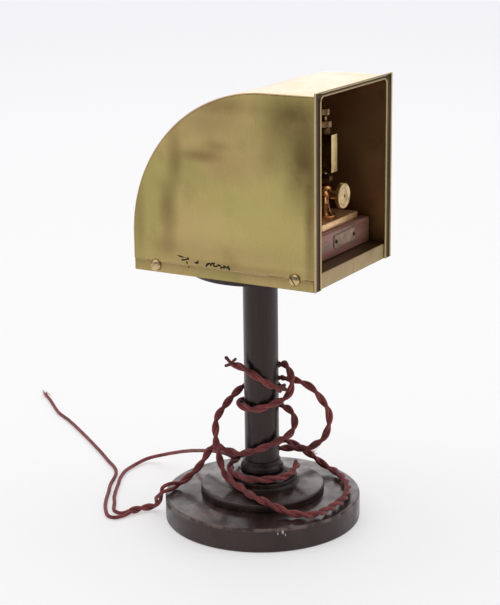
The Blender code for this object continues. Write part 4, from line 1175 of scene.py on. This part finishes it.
def make_small_screws():
    """Stop screw and lock nut over the sounding bar, with knurled edges."""
    tip = 363.2
    head = 422.4
    profile = fillet([(0, tip), (1.2, tip, 0.3), (2.0, tip + 1.0, 0.3), (2.0, head - 1.5, 0.4),
                      (3.2, head, 0.4),
                      (4.3, head + 0.5, 0.3), (4.3, head + 6.0, 0.4), (3.7, head + 6.6, 0.4),
                      (0, head + 6.6)], 4)
    piece = turned("knurled_stop", profile, MATERIALS["dull"], 144, (SOUNDER_X, PILLAR_Y, 0),
                   ripple=knurl(36, 0.3, 4.1))
    place(piece, "bright_brass", "stop_screw", body="stop_screw")
    nut = 410.3
    profile = fillet([(2.3, nut), (5.6, nut, 0.3), (6.3, nut + 0.7, 0.3), (6.3, nut + 6.0, 0.3),
                      (5.6, nut + 6.7, 0.3), (2.3, nut + 6.7)], 4)
    piece = turned("knurled_lock", profile, MATERIALS["dull"], 176, (SOUNDER_X, PILLAR_Y, 0),
                   ripple=knurl(44, 0.35, 6.0))
    place(piece, "bright_brass", "lock_nut", body="lock_nut")


def make_terminal(side):
    low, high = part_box(f"terminal_post_{side}")
    x, y = (low.x + high.x) / 2 / MM, (low.y + high.y) / 2 / MM
    z = low.z / MM
    post = fillet([(0, 0), (6.0, 0, 0.3), (6.0, 2.5, 0.6), (3.6, 3.5, 0.5), (3.6, 9.0, 0.3),
                   (2.0, 9.4, 0.2),
                   (2.0, 19.0, 0.5), (0, 19.5)], 4)
    place(turned(f"line_post_{side}", post, MATERIALS["bright"], 48, (x, y, z)), "bright_brass",
          f"terminal_post_{side}")
    nut = fillet([(2.3, 0), (5.6, 0, 0.3), (6.2, 0.6, 0.3), (6.2, 4.4, 0.3), (5.6, 5.0, 0.4),
                  (3.4, 5.2, 0.4),
                  (3.2, 6.8, 0.3), (2.3, 6.8)], 4)
    place(turned(f"line_nut_{side}", nut, MATERIALS["bright"], 176, (x, y, z + 10.0),
          ripple=knurl(44, 0.3, 5.9)),
          "bright_brass", f"terminal_nut_{side}", body=f"terminal_nut_{side}")


def make_coil(side):
    low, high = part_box(f"coil_{side}")
    centre = ((low.x + high.x) / 2 / MM, (low.y + high.y) / 2 / MM, 0)
    bottom, top = low.z / MM, high.z / MM
    cheek = 13.5
    wound = 12.2
    outline = fillet([(4.8, bottom), (cheek, bottom, 0.3), (cheek, bottom + 2.0, 0.4),
        (wound, bottom + 2.2)], 4)
    outline += fillet([(wound, top - 2.2), (cheek, top - 2.0, 0.4), (cheek, top, 0.3), (4.8, top)], 4)
    piece = turned(f"bobbin_{side}", outline, MATERIALS["ebonite"], 72, centre)
    piece.data.materials.append(MATERIALS["winding"])
    for polygon in piece.data.polygons:
        z = polygon.center.z / MM
        reach = (polygon.center - Vector(centre) * MM).xy.length / MM
        if bottom + 2.3 < z < top - 2.3 and reach > 10:
            polygon.material_index = 1
    place(piece, "coil_winding", f"coil_{side}")


def make_bar():
    """The sounding bar: brown all over as painted shade, but for its front face, which is painted bright as
    a highlight.
    """
    piece = softened("sounding_bar", MATERIALS["brown"], 0.45, slot="bright_brass")
    piece.data.materials.append(MATERIALS["strip"])
    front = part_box("sounding_bar")[0].y
    # The front face takes the painted highlight.
    for polygon in piece.data.polygons:
        if polygon.center.y < front + 0.1 * MM:
            polygon.material_index = 1


def make_sounder():
    bright = MATERIALS["bright"]
    brown = MATERIALS["brown"]
    softened("sounder_base", MATERIALS["wood"], 1.0, slot="mahogany")
    softened("floor_board", MATERIALS["board"], 0.4, slot="mahogany")
    softened("floor_sheet", MATERIALS["floor"], 0.2, slot="dark_brass")
    softened("bed_plate", MATERIALS["bed"], 0.5, slot="bright_brass")
    softened("name_plate", MATERIALS["fibre"], 0.2, slot="name_plate")
    for side, turn in (("left", 85.0), ("right", 40.0)):
        slotted_screw(f"plate_pin_{side}", f"name_screw_{side}", (0, -1, 0), 1.95, MATERIALS["black"],
                      "bright_brass", turn)
        make_terminal(side)
        make_coil(side)
    make_pillar()
    make_tension_nut()
    make_small_screws()
    make_bar()
    softened("magnet_frame", MATERIALS["iron"], 0.5, slot="soft_iron")
    softened("pivot_standard", bright, 0.5, slot="bright_brass")
    softened("lever", brown, 0.4, slot="bright_brass", body="lever")
    softened("armature", MATERIALS["iron"], 0.4, slot="soft_iron", body="lever")
    give("tension_rod", MATERIALS["brown"])
    give("tension_spring", MATERIALS["steel"])


def give(node, made):
    """A carried node keeps its shape and gets a finer material."""
    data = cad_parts[node].data
    if not data.materials:
        data.materials.append(made)
    for index in range(len(data.materials)):
        data.materials[index] = made


# ---- Stage ----

# Soft lamps and dark corners of the studio: (heading from +Y, elevation, half width in degrees, strength)
STUDIO_GLOWS = ((60, 17, 26, 1.35), (20, 80, 52, 1.35), (-40, 30, 30, 0.35), (150, 40, 34, 0.8),
                (-125, 12, 50, -0.25))
STUDIO_LEVEL = 0.36


def make_studio_light():
    """World light by direction, so that the floor gets no edge from any lamp."""
    world = bpy.data.worlds.new("studio")
    bpy.context.scene.world = world
    world.use_nodes = True
    nodes = world.node_tree.nodes
    links = world.node_tree.links
    ahead = nodes.new("ShaderNodeTexCoord").outputs["Generated"]
    total = None
    for heading, elevation, half_width, strength in STUDIO_GLOWS:
        towards = nodes.new("ShaderNodeVectorMath")
        towards.operation = "DOT_PRODUCT"
        links.new(ahead, towards.inputs[0])
        towards.inputs[1].default_value = (sin(radians(heading)) * cos(radians(elevation)),
                                           cos(radians(heading)) * cos(radians(elevation)),
                                           sin(radians(elevation)))
        glow = nodes.new("ShaderNodeMapRange")
        glow.interpolation_type = "SMOOTHERSTEP"
        links.new(towards.outputs["Value"], glow.inputs["Value"])
        for socket, number in (("From Min", cos(radians(half_width))), ("From Max", 1.0), ("To Min", 0.0),
                               ("To Max", strength)):
            glow.inputs[socket].default_value = number
        added = nodes.new("ShaderNodeMath")
        added.operation = "ADD"
        links.new(glow.outputs["Result"], added.inputs[0])
        if total is None:
            added.inputs[1].default_value = STUDIO_LEVEL
        else:
            links.new(total, added.inputs[1])
        total = added.outputs["Value"]
    nodes["Background"].inputs["Color"].default_value = (1.0, 0.995, 1.0, 1.0)
    links.new(total, nodes["Background"].inputs["Strength"])


def make_stage():
    bpy.ops.mesh.primitive_plane_add(size=60.0, location=(0, 0, -0.0002))
    floor = bpy.context.active_object
    floor.name = "floor"
    s = Shader("studio_floor", roughness=0.8)
    s.colour((0.56, 0.56, 0.56))
    s.out["Specular IOR Level"].default_value = 0.2
    far = s.ramp(s.from_centre(), 0.3, 5.5)
    s.feed(s.out["Emission Color"], s.mix(far, (0.93, 0.92, 0.93), (0.75, 0.75, 0.805)))
    s.out["Emission Strength"].default_value = 0.465
    floor.data.materials.append(s.material)
    make_studio_light()
    bpy.context.scene.view_settings.view_transform = "Standard"


MATERIALS = make_materials()
make_camera()
make_cords()
make_stand()
make_hood()
make_sounder()
give("cord_bush", MATERIALS["ebonite"])
make_stage()
